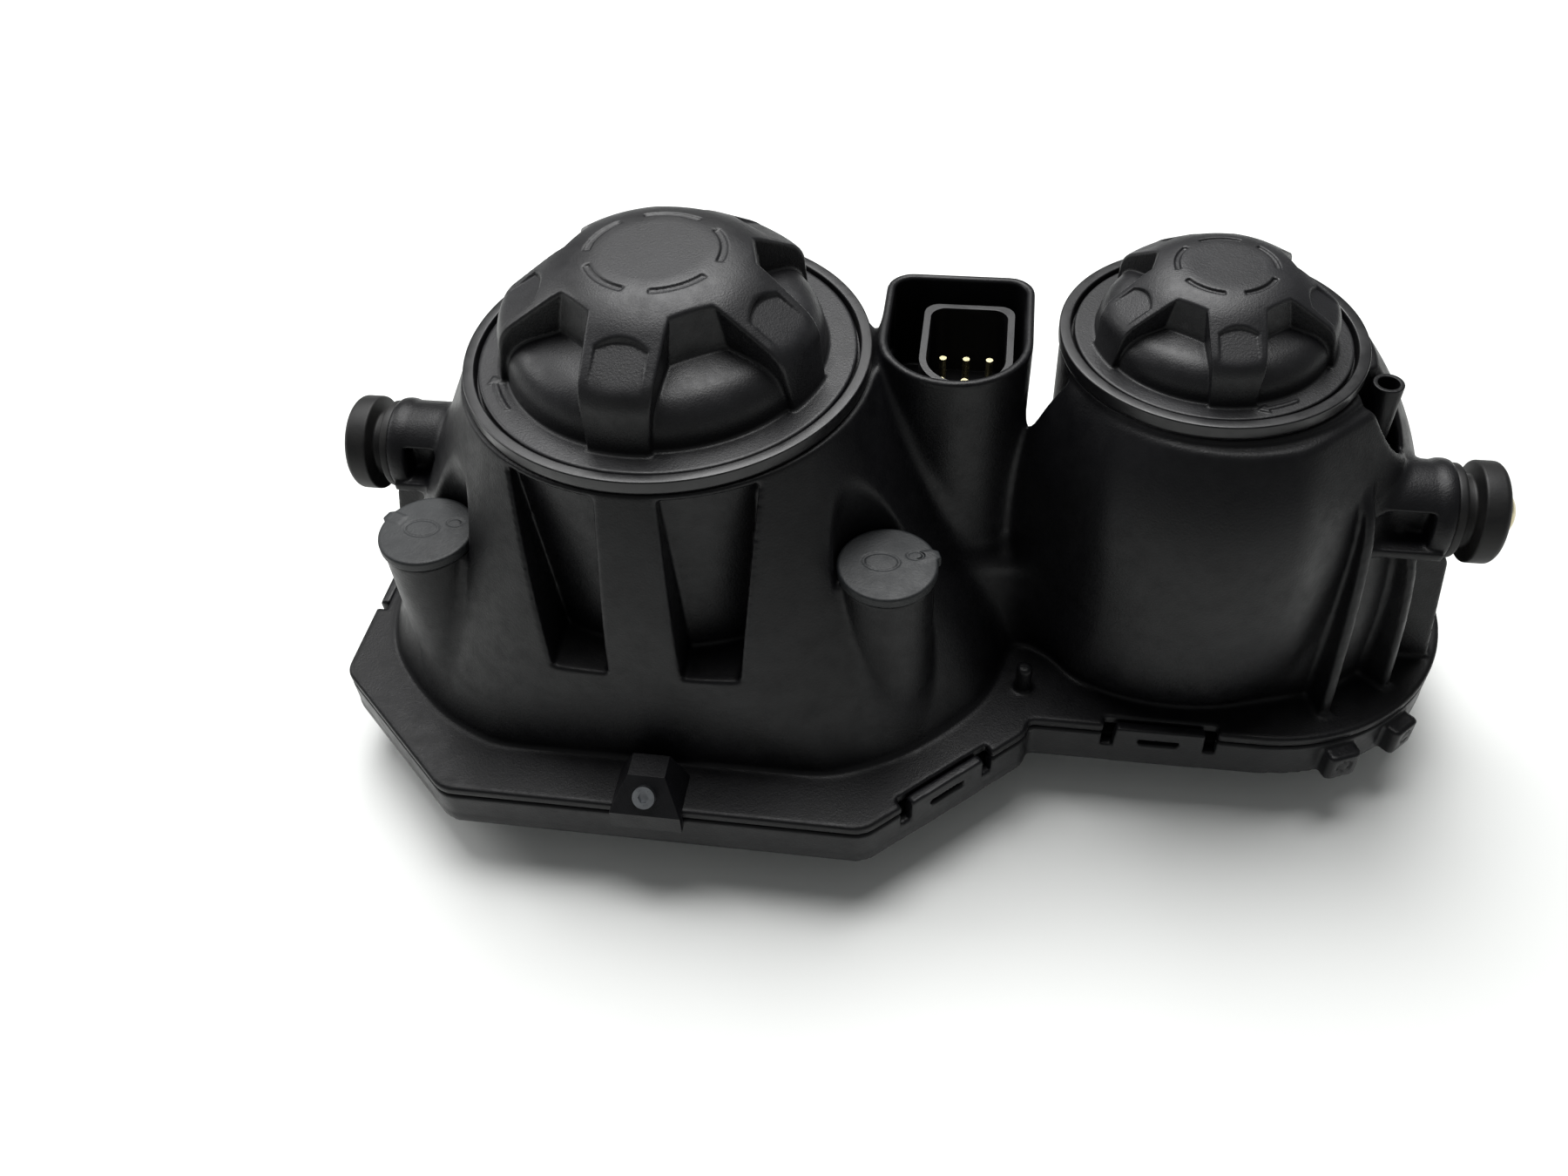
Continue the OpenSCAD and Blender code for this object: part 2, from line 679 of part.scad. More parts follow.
module plug_plan(d) {
    w = plug_shell_w / 2 - d;
    translate([shroud_x + 2.8, 0]) {
        translate([0, 8.5]) circle(r = w);
        translate([-w, 8.5]) square([2 * w, plug_shell_back - 13 - d]);
        for (sx = [-1, 1]) translate([sx * (w - 4), plug_shell_back - 4.5 - d]) circle(r = 4);
        translate([-w + 4, plug_shell_back - 8.5 - d]) square([2 * w - 8, 8]);
    }
}

module connector_body() {
    color("#141416") difference() {
        translate([0, 0, shroud_floor]) linear_extrude(socket_depth - 5) plug_plan(0);
        translate([0, 0, shroud_floor + 3]) linear_extrude(socket_depth) plug_plan(1.8);
        for (p = pin_places()) translate([p[0], p[1], shroud_floor - over]) cylinder(r = 0.95, h = 5);
    }
}

module connector_pins() {
    color("#b9b48f") for (p = pin_places()) translate([p[0], p[1], shroud_floor - floor_t - 4])
        cylinder(r = 0.9, h = floor_t + 20);
}

// Wires from the pins to both bulb plugs
module wiring_harness() {
    low_end = plug_top(large_vertex);
    high_end = plug_top(small_vertex);
    z = shroud_floor - floor_t - 9;
    color("#202024") {
        difference() {
            translate([shroud_x + 2.8 - 9, 13 - 7.5, z]) cube([18, 15, 8.8]);
            for (p = pin_places()) translate([p[0], p[1], z + 3]) cylinder(r = 0.92, h = 9);
        }
        wire([[large_c[0], large_c[1], low_end - 3], [large_c[0], large_c[1], low_end + 5],
            [large_c[0] + 20, 4, low_end + 5], [-8, 12, z + 3], [shroud_x - 4, 13, z + 3]], 1.6);
        wire([[shroud_x + 8, 13, z + 1], [shroud_x + 12, 14, z - 8], [shroud_x + 14, 15, saddle[2] - 12],
            [small_c[0] - 38, small_c[1], saddle[2] - 12], [small_c[0] - 18, small_c[1], high_end + 4],
            [small_c[0], small_c[1], high_end + 4], [small_c[0], small_c[1], high_end - 3]], 1.6);
    }
}
// ---------- caps ----------

// The cap's outer shape before its pockets, for a cap of radius r
module cap_envelope(r) {
    rotate_extrude() polygon([[0, 0], [rib_end * r, 0], [rib_end * r, rib_end_top * r],
        [(rib_end - 0.03) * r, (rib_end_top + 0.05) * r], [(cap_disc + 0.02) * r, (cap_top - 0.02) * r],
        [(cap_disc - 0.03) * r, cap_top * r], [0, cap_top * r]]);
}

module cap(r, rib_turn, arrow_turn) {
    skirt_r = r - neck_in - neck_gap;
    puck_arc = [for (a = [0 : 15 : 90]) [puck_r, puck_top] - puck_round * [1 - cos(a), 1 - sin(a)]];
    seal_c = seat_z - 4.5;
    difference() {
        union() {
            translate([0, 0, ring_z]) {
                rotate_extrude() polygon(concat(
                    [[0, -cap_flange_t], [r, -cap_flange_t], [r, 0], [puck_r * r, 0]],
                    [for (p = puck_arc) p * r], [[0, puck_top * r]]));
                intersection() {
                    cap_envelope(r);
                    union() {
                        rotate(rib_turn)
                            cylinder(r = hub_flat * r / cos(180 / rib_count), h = r, $fn = rib_count);
                        for (i = [0 : rib_count - 1]) rotate(i * 360 / rib_count + rib_turn)
                            translate([0, -rib_w * r / 2, 0]) cube([r, rib_w * r, r]);
                    }
                }
                // plain opening arrow on the flange
                rotate(arrow_turn) rotate_extrude(angle = 14) translate([0.9 * r, -0.5])
                    square([0.035 * r, 0.85]);
                rotate(arrow_turn) translate([0.918 * r, 0, -0.5]) linear_extrude(0.85)
                    polygon([[-0.05 * r, 0], [0.05 * r, 0], [0, -0.09 * r]]);
            }
            translate([0, 0, skirt_low]) cylinder(r = skirt_r, h = ring_z - skirt_low - 1);
            for (i = [0 : lug_count - 1]) rotate(i * 360 / lug_count - lug_half)
                translate([0, 0, skirt_low]) rotate_extrude(angle = 2 * lug_half)
                    translate([skirt_r - 1, 0]) square([lug_out + 1 + 0.2, lug_h]);
        }
        // hollow inside
        rotate_extrude() polygon([[0, skirt_low - over], [skirt_r - skirt_t, skirt_low - over],
            [skirt_r - skirt_t, seat_z - 1.5], [0.72 * r, ring_z - 0.6],
            [0.70 * r, ring_z + 0.12 * r], [0.49 * r, ring_z + 0.29 * r],
            [0.34 * r, ring_z + 0.50 * r], [0, ring_z + 0.52 * r]]);
        // groove for the sealing ring
        translate([0, 0, seal_c]) rotate_extrude() translate([skirt_r - cap_seal_depth, -cap_seal_r - 0.1])
            square([3, 2 * cap_seal_r + 0.2]);
        // dashed ring on the top
        for (i = [0 : rib_count - 1]) rotate((i * 360 + 60) / rib_count + rib_turn)
            translate([0, 0, ring_z + cap_top * r - 0.6]) rotate_extrude(angle = 240 / rib_count)
                translate([dash_r * r, 0]) square([0.03 * r, 1]);
        // thumb notch near the head of each rib
        for (i = [0 : rib_count - 1]) rotate(i * 360 / rib_count + rib_turn)
            translate([0.60 * r, 0, ring_z + 0.50 * r]) rotate([0, 50, 0])
                cylinder(r = 0.085 * r, h = 0.2 * r, center = true);
    }
}

module cap_seal(r) {
    skirt_r = r - neck_in - neck_gap;
    translate([0, 0, seat_z - 4.5]) rotate_extrude()
        translate([skirt_r - cap_seal_depth + 0.1 + cap_seal_r, 0]) circle(r = cap_seal_r);
}
module large_cap() { color("#1d1d20") at_large() cap(large_cap_r, -94, -155); }
module small_cap() { color("#1d1d20") at_small() cap(small_cap_r, -85, -70); }
module large_cap_seal() { color("#3a1f1a") at_large() cap_seal(large_cap_r); }
module small_cap_seal() { color("#3a1f1a") at_small() cap_seal(small_cap_r); }

// ---------- aiming ----------

module adjuster_cover(side) {
    at_post(side) difference() {
        union() {
            translate([0, 0, post_z - cover_t]) cylinder(r = post_r + 0.7, h = cover_t);
            translate([0, 0, post_z - cover_t - 5]) cylinder(r = post_bore_r - gap, h = 5.5);
            // pull tab on the edge
            rotate(side < 0 ? 160 : 20) translate([post_r - 1, -1.5, post_z - cover_t])
                cube([2.6, 3, cover_t]);
        }
        translate([0, 0, post_z - cover_t - 5 - over]) cylinder(r = post_bore_r - 2, h = 5 + over);
    }
}
module left_adjuster_cover() { color("#3a3b3f") adjuster_cover(-1); }
module right_adjuster_cover() { color("#3a3b3f") adjuster_cover(1); }

module adjuster(side) {
    top = shelf_z + shelf_t + 0.2;
    at_post(side) difference() {
        union() {
            translate([0, 0, top]) cylinder(r = 6.2, h = 5);
            translate([0, 0, shelf_z - 0.3]) cylinder(r = journal_r, h = shelf_t + 1);
            translate([0, 0, shelf_z - 2.3]) cylinder(r = journal_r - 0.1, h = 2.1);
            translate([0, 0, aim_z - 6]) cylinder(r = screw_r, h = shelf_z - aim_z + 4.5);
        }
        translate([0, 0, top + 2]) cylinder(r = 3, h = 4, $fn = 6);
    }
}
module left_adjuster() { color("#c9c9c2") adjuster(-1); }
module right_adjuster() { color("#c9c9c2") adjuster(1); }

module adjuster_nut(side) {
    at_post(side, aim_z - nut_h / 2) difference() {
        union() {
            cylinder(r = nut_r, h = nut_h);
            translate([0, 0, nut_h / 2 + 0.05]) cylinder(r = nut_r + 1.6, h = nut_h / 2 - 0.05);
        }
        translate([0, 0, -over]) cylinder(r = screw_r + nut_gap, h = nut_h + 2 * over);
    }
}
module left_adjuster_nut() { color("#d8d5c8") adjuster_nut(-1); }
module right_adjuster_nut() { color("#d8d5c8") adjuster_nut(1); }

module pivot_ball_stud() {
    color("#9a9c9f") at_large() translate([0, ball_y, 0]) {
        translate([0, 0, aim_z]) sphere(r = ball_r);
        translate([0, 0, aim_z + 1]) cylinder(r = 1.8, h = ball_r + 20);
    }
}
// ---------- reflectors ----------

// A bowl whose rim is at refl_rim_z, cut to a strip in Y
function bowl(r, focus, vertex, grow) =
    [for (i = [0 : 12]) let (x = r * i / 12) [x, vertex - x * x / (4 * focus) + grow]];

module reflector_bowl(r, focus, vertex, front, back) {
    difference() {
        union() {
            intersection() {
                rotate_extrude() polygon(concat(bowl(r, focus, vertex, refl_t),
                    [[r, refl_rim_z], [0, refl_rim_z]]));
                translate([-r, -front, 0]) cube([2 * r, front + back, 2 * vertex]);
            }
            translate([0, 0, vertex - 3]) cylinder(r = base_r + clip_reach + 2, h = refl_t + 3);
        }
        intersection() {
            rotate_extrude() polygon(concat(bowl(r - refl_t, focus, vertex, 0), [[r - refl_t, 0], [0, 0]]));
            translate([-r, -front + refl_t, -over]) cube([2 * r, front + back - 2 * refl_t, 2 * vertex]);
        }
        cylinder(r = neck_hole, h = 2 * vertex);
    }
}

module low_beam_reflector() {
    ear_z = aim_z - nut_h / 2;
    color("#c8c9cc") {
        at_large() difference() {
            union() {
                reflector_bowl(large_refl_r, large_focus, large_vertex, refl_front, refl_back);
                for (s = [-1, 1]) translate([s * post_x, -post_y, refl_rim_z + 4])
                    cylinder(r = nut_r + 2, h = ear_z + nut_h / 2 - refl_rim_z - 4);
                // cup for the pivot ball, on the back wall
                translate([-5, refl_back - 3, aim_z - 7]) cube([10, ball_y - refl_back + 3, 9]);
                translate([0, ball_y, aim_z - 7]) cylinder(r = ball_r + 2, h = 9);
            }
            for (s = [-1, 1]) translate([s * post_x, -post_y, 0]) {
                translate([0, 0, ear_z - 3]) cylinder(r = nut_r + 0.02, h = nut_h);
                cylinder(r = screw_r + 0.7, h = aim_z);
            }
            translate([0, ball_y, aim_z]) sphere(r = ball_r + 0.25);
            // keeps the ears' inside of the bowl clear
            intersection() {
                rotate_extrude() polygon(concat(bowl(large_refl_r - refl_t, large_focus, large_vertex, 0),
                    [[large_refl_r - refl_t, 0], [0, 0]]));
                translate([-large_refl_r, -large_refl_r, -over])
                    cube([2 * large_refl_r, large_refl_r + refl_back - refl_t, 2 * large_vertex]);
            }
        }
        // landing for the bridge
        translate([large_c[0] + large_refl_r - 4, 6, refl_rim_z]) cube([10, 18, 3]);
    }
}

module high_beam_reflector() {
    color("#c8c9cc") {
        at_small() reflector_bowl(small_refl_r, small_focus, small_vertex, small_refl_r, small_refl_r);
        translate([small_c[0] - small_refl_r - 6, 6, refl_rim_z]) cube([8, 18, 3]);
    }
}

module reflector_bridge() {
    x0 = large_c[0] + large_refl_r - 1;
    x1 = small_c[0] - small_refl_r - 0.5;
    color("#3a3a3d") translate([x0, 6, refl_rim_z + 3]) cube([x1 - x0, 18, 3]);
}

// ---------- bulbs ----------
function base_z(vertex) = vertex + refl_t;
function plug_low(vertex) = base_z(vertex) + base_h + socket_h;
function plug_top(vertex) = plug_low(vertex) + plug_h;

module bulb_base(vertex) {
    translate([0, 0, base_z(vertex)]) {
        cylinder(r = base_r, h = base_h);
        cylinder(r = socket_r, h = base_h + socket_h);
    }
}

module bulb_glass(vertex, length) {
    low = base_z(vertex) - length;
    translate([0, 0, low + glass_r]) {
        cylinder(r = glass_r, h = length - glass_r - 0.02);
        sphere(r = glass_r);
    }
}

module bulb_clip(vertex) {
    wire_r = 0.8;
    z = base_z(vertex) + base_h + wire_r;
    translate([0, 0, z]) {
        rotate_extrude() translate([socket_r + wire_r + 0.3, 0]) circle(r = wire_r);
        for (s = [-1, 1]) bar([[s * (socket_r + wire_r + 0.3), 0, 0],
            [s * (base_r + clip_reach), 0, 0], [s * (base_r + clip_reach), 0, 0.05 - base_h]], wire_r);
    }
}

module bulb_plug(vertex) {
    translate([0, 0, plug_low(vertex)]) difference() {
        translate([-plug_w / 2, -plug_d / 2, 0]) cube([plug_w, plug_d, plug_h]);
        translate([0, 0, plug_h - 8]) cylinder(r = 4.6, h = 9);
    }
}

module low_beam_bulb_base() { color("#b5b1a4") at_large() bulb_base(large_vertex); }
module low_beam_bulb_glass() { color("#e8eef2", 0.4) at_large() bulb_glass(large_vertex, 32); }
module low_beam_bulb_clip() { color("#a0a2a6") at_large() bulb_clip(large_vertex); }
module low_beam_plug() { color("#2a2a2c") at_large() bulb_plug(large_vertex); }
module high_beam_bulb_base() { color("#b5b1a4") at_small() bulb_base(small_vertex); }
module high_beam_bulb_glass() { color("#e8eef2", 0.4) at_small() bulb_glass(small_vertex, 22); }
module high_beam_bulb_clip() { color("#a0a2a6") at_small() bulb_clip(small_vertex); }
module high_beam_plug() { color("#2a2a2c") at_small() bulb_plug(small_vertex); }

housing();
lens_frame();
outer_lens();
lens_seal();
inner_bezel();
frame_bracket();
bracket_screw();
left_bush();
right_bush();
left_pivot_pin();
right_pivot_pin();
connector_body();
connector_pins();
wiring_harness();
pivot_ball_stud();
large_cap();
large_cap_seal();
small_cap();
small_cap_seal();
left_adjuster_cover();
right_adjuster_cover();
left_adjuster();
right_adjuster();
left_adjuster_nut();
right_adjuster_nut();
low_beam_reflector();
high_beam_reflector();
reflector_bridge();
low_beam_bulb_base();
low_beam_bulb_glass();
low_beam_bulb_clip();
low_beam_plug();
high_beam_bulb_base();
high_beam_bulb_glass();
high_beam_bulb_clip();
high_beam_plug();
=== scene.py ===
import json
import math

import bmesh
import bpy
import numpy as np
from mathutils import Euler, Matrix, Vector


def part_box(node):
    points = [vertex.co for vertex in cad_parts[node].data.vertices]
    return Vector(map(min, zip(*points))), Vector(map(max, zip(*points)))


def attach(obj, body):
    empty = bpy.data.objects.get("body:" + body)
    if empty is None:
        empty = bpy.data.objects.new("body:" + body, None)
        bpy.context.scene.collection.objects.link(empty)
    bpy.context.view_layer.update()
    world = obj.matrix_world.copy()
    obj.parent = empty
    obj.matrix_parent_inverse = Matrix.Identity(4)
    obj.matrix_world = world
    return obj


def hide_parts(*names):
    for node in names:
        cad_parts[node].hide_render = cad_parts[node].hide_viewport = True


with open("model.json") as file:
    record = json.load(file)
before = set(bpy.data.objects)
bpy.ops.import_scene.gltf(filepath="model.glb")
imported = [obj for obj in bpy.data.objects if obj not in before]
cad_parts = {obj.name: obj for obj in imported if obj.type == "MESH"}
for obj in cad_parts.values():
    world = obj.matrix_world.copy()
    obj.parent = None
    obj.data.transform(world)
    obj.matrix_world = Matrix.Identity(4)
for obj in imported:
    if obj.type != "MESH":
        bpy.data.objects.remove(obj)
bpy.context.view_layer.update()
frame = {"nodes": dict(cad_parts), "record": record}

MM = 0.001


def corners(node):
    """Lowest and highest corner of a CAD node, in millimetres."""
    low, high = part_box(node)
    return np.array(low) / MM, np.array(high) / MM


# ---------- sizes, from the frame ----------
large_low, large_high = corners("large_cap")
small_low, small_high = corners("small_cap")
bush_low, bush_high = corners("right_bush")
pin_low, pin_high = corners("right_pivot_pin")

LARGE_X, LARGE_Y = (large_low[:2] + large_high[:2]) / 2
SMALL_X, SMALL_Y = (small_low[:2] + small_high[:2]) / 2
LARGE_R = (large_high[0] - large_low[0]) / 2        # cap flanges
SMALL_R = (small_high[0] - small_low[0]) / 2
CAP_TOP = 0.59                                      # a cap's height, as a share of its radius
RING_Z = large_high[2] - CAP_TOP * LARGE_R          # height of the cap seats
FLANGE_Z = corners("inner_bezel")[1][2]             # underside of the housing's flange
FLANGE_TOP = FLANGE_Z + 3
FRAME_Z = corners("outer_lens")[1][2] - 5           # underside of the snap frame
END_X, END_Y = SMALL_X + 26, SMALL_Y + 1            # centre of the small side's round end
END_R = 54
SIDE_W, SIDE_D = 98.5, 77                           # half sizes of the large side
CUT_W, CUT_D = 41, 37                               # its cut corners
WALL = 2.5
RIM_W = 3.2                                         # a cap seat's round rim
LEDGE_Z = RING_Z - 4.8                              # ledge that a cap's flange lies on
THROAT_Z = RING_Z - 16                              # lower end of a cap seat's throat
FOOT_BOW = 480                                      # radius of the large bell's bowed foot
BULGE_R = 51                                        # the small chamber's barrel-shaped front
BULGE_TOP = RING_Z - 5
WINDOW_LOW, WINDOW_TOP = RING_Z - 58, RING_Z - 5    # tapered windows in the large bell's front
POST_X, POST_Y, POST_R = 59.3, -38, 11.8            # adjuster towers
POST_Z = corners("left_adjuster_cover")[1][2]
PIVOT_Z = 85
PIVOT_END = bush_high[0]                            # outer face of the right bush
BUSH_R, BUSH_BORE = (bush_high[2] - bush_low[2]) / 2, 6.6
COLLAR = 138                                        # outer face of a pivot's collar
PIN_R, DOME_H = (pin_high[2] - pin_low[2]) / 2, 4.6
SHROUD_X, SHROUD_Y, SHROUD_R, SHROUD_BACK = 13.6, 10.2, 19.2, 38
SHROUD_FLOOR = RING_Z - 28
VENT_X, VENT_Y, VENT_R, VENT_BORE = END_X + 15, SMALL_Y - 11, 3.7, 2.5
TAB_W, TAB_H = 24, 14                               # snap tabs


# ---------- distance fields ----------
def blend(a, b, r):
    """Both shapes, with a fillet of about r where they meet."""
    h = np.maximum(r - np.abs(a - b), 0) / r
    return np.minimum(a, b) - h * h * r / 4


def trim(a, b, r):
    """What lies in both shapes, with edges rounded by about r."""
    return -blend(-a, -b, r)


def carve(a, b, r):
    """Shape a without shape b, with the edges rounded by about r."""
    return trim(a, -b, r)


def slab(z, low, high):
    """Between two levels."""
    return np.maximum(low - z, z - high)


def disc(x, y, r):
    """Round, about the origin."""
    return np.hypot(x, y) - r


def plate(x, y, half_x, half_y, corner):
    """A rectangle with round corners."""
    qx, qy = np.abs(x) - half_x + corner, np.abs(y) - half_y + corner
    return np.hypot(np.maximum(qx, 0), np.maximum(qy, 0)) + np.minimum(np.maximum(qx, qy), 0) - corner


def side_of(x, y, a, b):
    """Distance to the right of the line from a to b: a convex outline is the most of its sides."""
    dx, dy = b[0] - a[0], b[1] - a[1]
    return ((x - a[0]) * dy - (y - a[1]) * dx) / math.hypot(dx, dy)


def convex(x, y, points, r=0.6):
    """A convex outline through points that run anticlockwise."""
    d = side_of(x, y, points[-1], points[0])
    for a, b in zip(points, points[1:]):
        d = trim(d, side_of(x, y, a, b), r)
    return d


def outline(x, y):
    """The unit's outline: a plate with cut corners and a long round-ended plate."""
    ax, ay = np.abs(x - LARGE_X), np.abs(y)
    cut = ((ax - SIDE_W) * CUT_D + (ay - SIDE_D + CUT_D) * CUT_W) / math.hypot(CUT_W, CUT_D)
    large = trim(trim(ax - SIDE_W, ay - SIDE_D, 0.8), cut, 2.5)
    along = np.clip(x, 0, END_X)
    small = np.hypot(x - along, y - END_Y) - END_R
    return blend(large, small, 2.5)


# ---------- housing ----------
def height_share(z):
    """Nought at the flange's top and one at the cap seats."""
    return np.clip((z - FLANGE_TOP) / (RING_Z - FLANGE_TOP), -0.3, 1)


def large_bell(x, y, z):
    """From a round cap seat down to a wide foot with a flat front, where the two meet in an arch."""
    u, v = np.abs(x - LARGE_X), np.abs(y)
    t = height_share(z)
    foot_y = np.hypot(u, v + FOOT_BOW) - FOOT_BOW - 64.5
    foot_cut = ((u - 51.5) * 23 + (v - 45) * 24) / math.hypot(23, 24) - 16
    foot = trim(trim(u - 92, foot_y, 22), foot_cut, 18)
    seat = disc(u, v, LARGE_R + RIM_W)
    swell = 2.2 * np.sin(math.pi * np.clip(t, 0, 1))
    loft = (foot * (1 - t) + seat * t - swell) * 0.93
    return trim(loft, v - 61 + 0.02 * (z - FLANGE_TOP), 1.6)


def small_bell(x, y, z):
    """Bulging side of the small lamp's chamber, from its cap seat out to the round end."""
    t = np.maximum(height_share(z), 0)
    foot = blend(disc(x - SMALL_X - 6, y - SMALL_Y, 42), disc(x - END_X, y - END_Y, 39), 8)
    seat = disc(x - SMALL_X, y - SMALL_Y, SMALL_R + RIM_W)
    flare = 1 - t ** 2.8
    return (foot * flare + seat * (1 - flare)) * 0.8


def barrel(x, y, z):
    """The barrel-shaped front of the small lamp's chamber, with a flat cheek on each side."""
    t = np.clip((z - FLANGE_Z) / (BULGE_TOP - FLANGE_Z), 0, 1)
    low = np.maximum(1 - t / 0.55, 0) ** 2
    high = (np.maximum(t - 0.55, 0) / 0.45) ** 2.4
    r = BULGE_R + 5 * low - (BULGE_R - SMALL_R - 6.5) * high
    forward = y - SMALL_Y - 13 * low
    body = (np.hypot(x - SMALL_X - 3.5, forward) - r) * 0.9
    for side, edge, lean in ((-1, 27, 50), (1, 29 - 11 * t, 44)):
        c, s = math.cos(math.radians(lean)), math.sin(math.radians(lean))
        cheek = (side * (x - SMALL_X - 3.5) - edge) * s - (forward + np.sqrt(r * r - edge * edge)) * c
        body = trim(body, cheek * 0.9, 1.2)
    return trim(trim(body, z - BULGE_TOP, 1.5), y - SMALL_Y + SMALL_R * 0.42, 2)


def vent_recess(x, y, z):
    """Scallop that leaves the vent pipe's upper end free."""
    out = (x - VENT_X) * 0.75 - (y - VENT_Y) * 0.66
    return trim(disc(x - VENT_X + 1, y - VENT_Y + 2.5, 7.4), (96 - z - 0.8 * out) * 0.78, 4)


def neck_windows(x, y, z):
    """Two tapered windows in the large bell's front."""
    u = np.abs(x - LARGE_X)
    t = (z - WINDOW_LOW) / (WINDOW_TOP - WINDOW_LOW)
    sides = np.maximum(9.5 - 2 * t - u, u - 24.5 - 5.5 * t)
    return np.maximum(trim(sides, slab(z, WINDOW_LOW, WINDOW_TOP), 1.5), y)


def shroud_plan(x, y):
    """The connector shroud's outline: round front, flat back."""
    back = plate(x - SHROUD_X, y - SHROUD_BACK + 29, SHROUD_R, 29, 7)
    front = disc(x - SHROUD_X, y - SHROUD_Y, SHROUD_R)
    return np.where(y < SHROUD_Y, front, back)


def pivot_arm(x, y, z, side):
    """Barrel with a collar, open in front between a top rib and a shelf, and a web down to the flange."""
    s = side * x
    r = np.hypot(y, z - PIVOT_Z)
    root, foot = (102, 152.5) if side < 0 else (98, 150)
    shelf_z = PIVOT_Z - 5
    barrel_part = trim(r - 12.5, slab(s, root, COLLAR), 0.8)
    front = trim(trim(slab(s, root - 5, COLLAR - 5), slab(z, shelf_z + 2.6, PIVOT_Z + 7), 1), y + 6.5, 1)
    below = trim(np.maximum(s - COLLAR + 4, y + 2.5), z - shelf_z, 0.5)
    spool = carve(carve(barrel_part, front, 1), below, 0.5)
    spool = blend(spool, trim(r - BUSH_R, slab(s, COLLAR - 4, COLLAR), 1.8), 0.8)
    web = convex(s, z, [(root, FLANGE_TOP - 1), (foot, FLANGE_TOP - 1), (COLLAR + 6.4, PIVOT_Z - BUSH_R - 4),
                        (COLLAR + 5, PIVOT_Z - BUSH_R - 2), (COLLAR - 1, PIVOT_Z - BUSH_R - 0.6),
                        (root, PIVOT_Z - BUSH_R - 0.6)])
    web = np.minimum(web, np.maximum(slab(s, root, COLLAR - 1), slab(z, PIVOT_Z - BUSH_R - 3, PIVOT_Z)))
    web = trim(web, np.abs(y) - 1.7, 0.6)
    shelf = trim(slab(s, root, COLLAR - 1), slab(z, shelf_z, shelf_z + 2.6), 0.5)
    shelf = trim(shelf, slab(y, -14, -1), 0.5)
    return blend(blend(spool, web, 1.5), shelf, 0.8)


def round_end(x, y, turn):
    """Distances along and across a line that leaves the round end's centre at a turn in degrees."""
    c, s = math.cos(math.radians(turn)), math.sin(math.radians(turn))
    return (x - END_X) * c + (y - END_Y) * s, (y - END_Y) * c - (x - END_X) * s


# Buttress fins on the round end: turn, then points of the outline as (distance out, height)
FINS = ((-68, ((5, 29), (47.5, 29), (44.2, 66), (42.2, 80), (39.4, 92.5), (35.6, 98.8), (22, 108), (5, 108))),
        (-42, ((5, 29), (48, 29), (46.3, 50), (44.2, 66), (42, 75), (36, 84), (30, 88), (5, 88))))


def fin(x, y, z, turn, points):
    """One upright buttress fin."""
    along, across = round_end(x, y, turn)
    return trim(np.abs(across) - 1.4, convex(along, z, points, 2), 1.1)


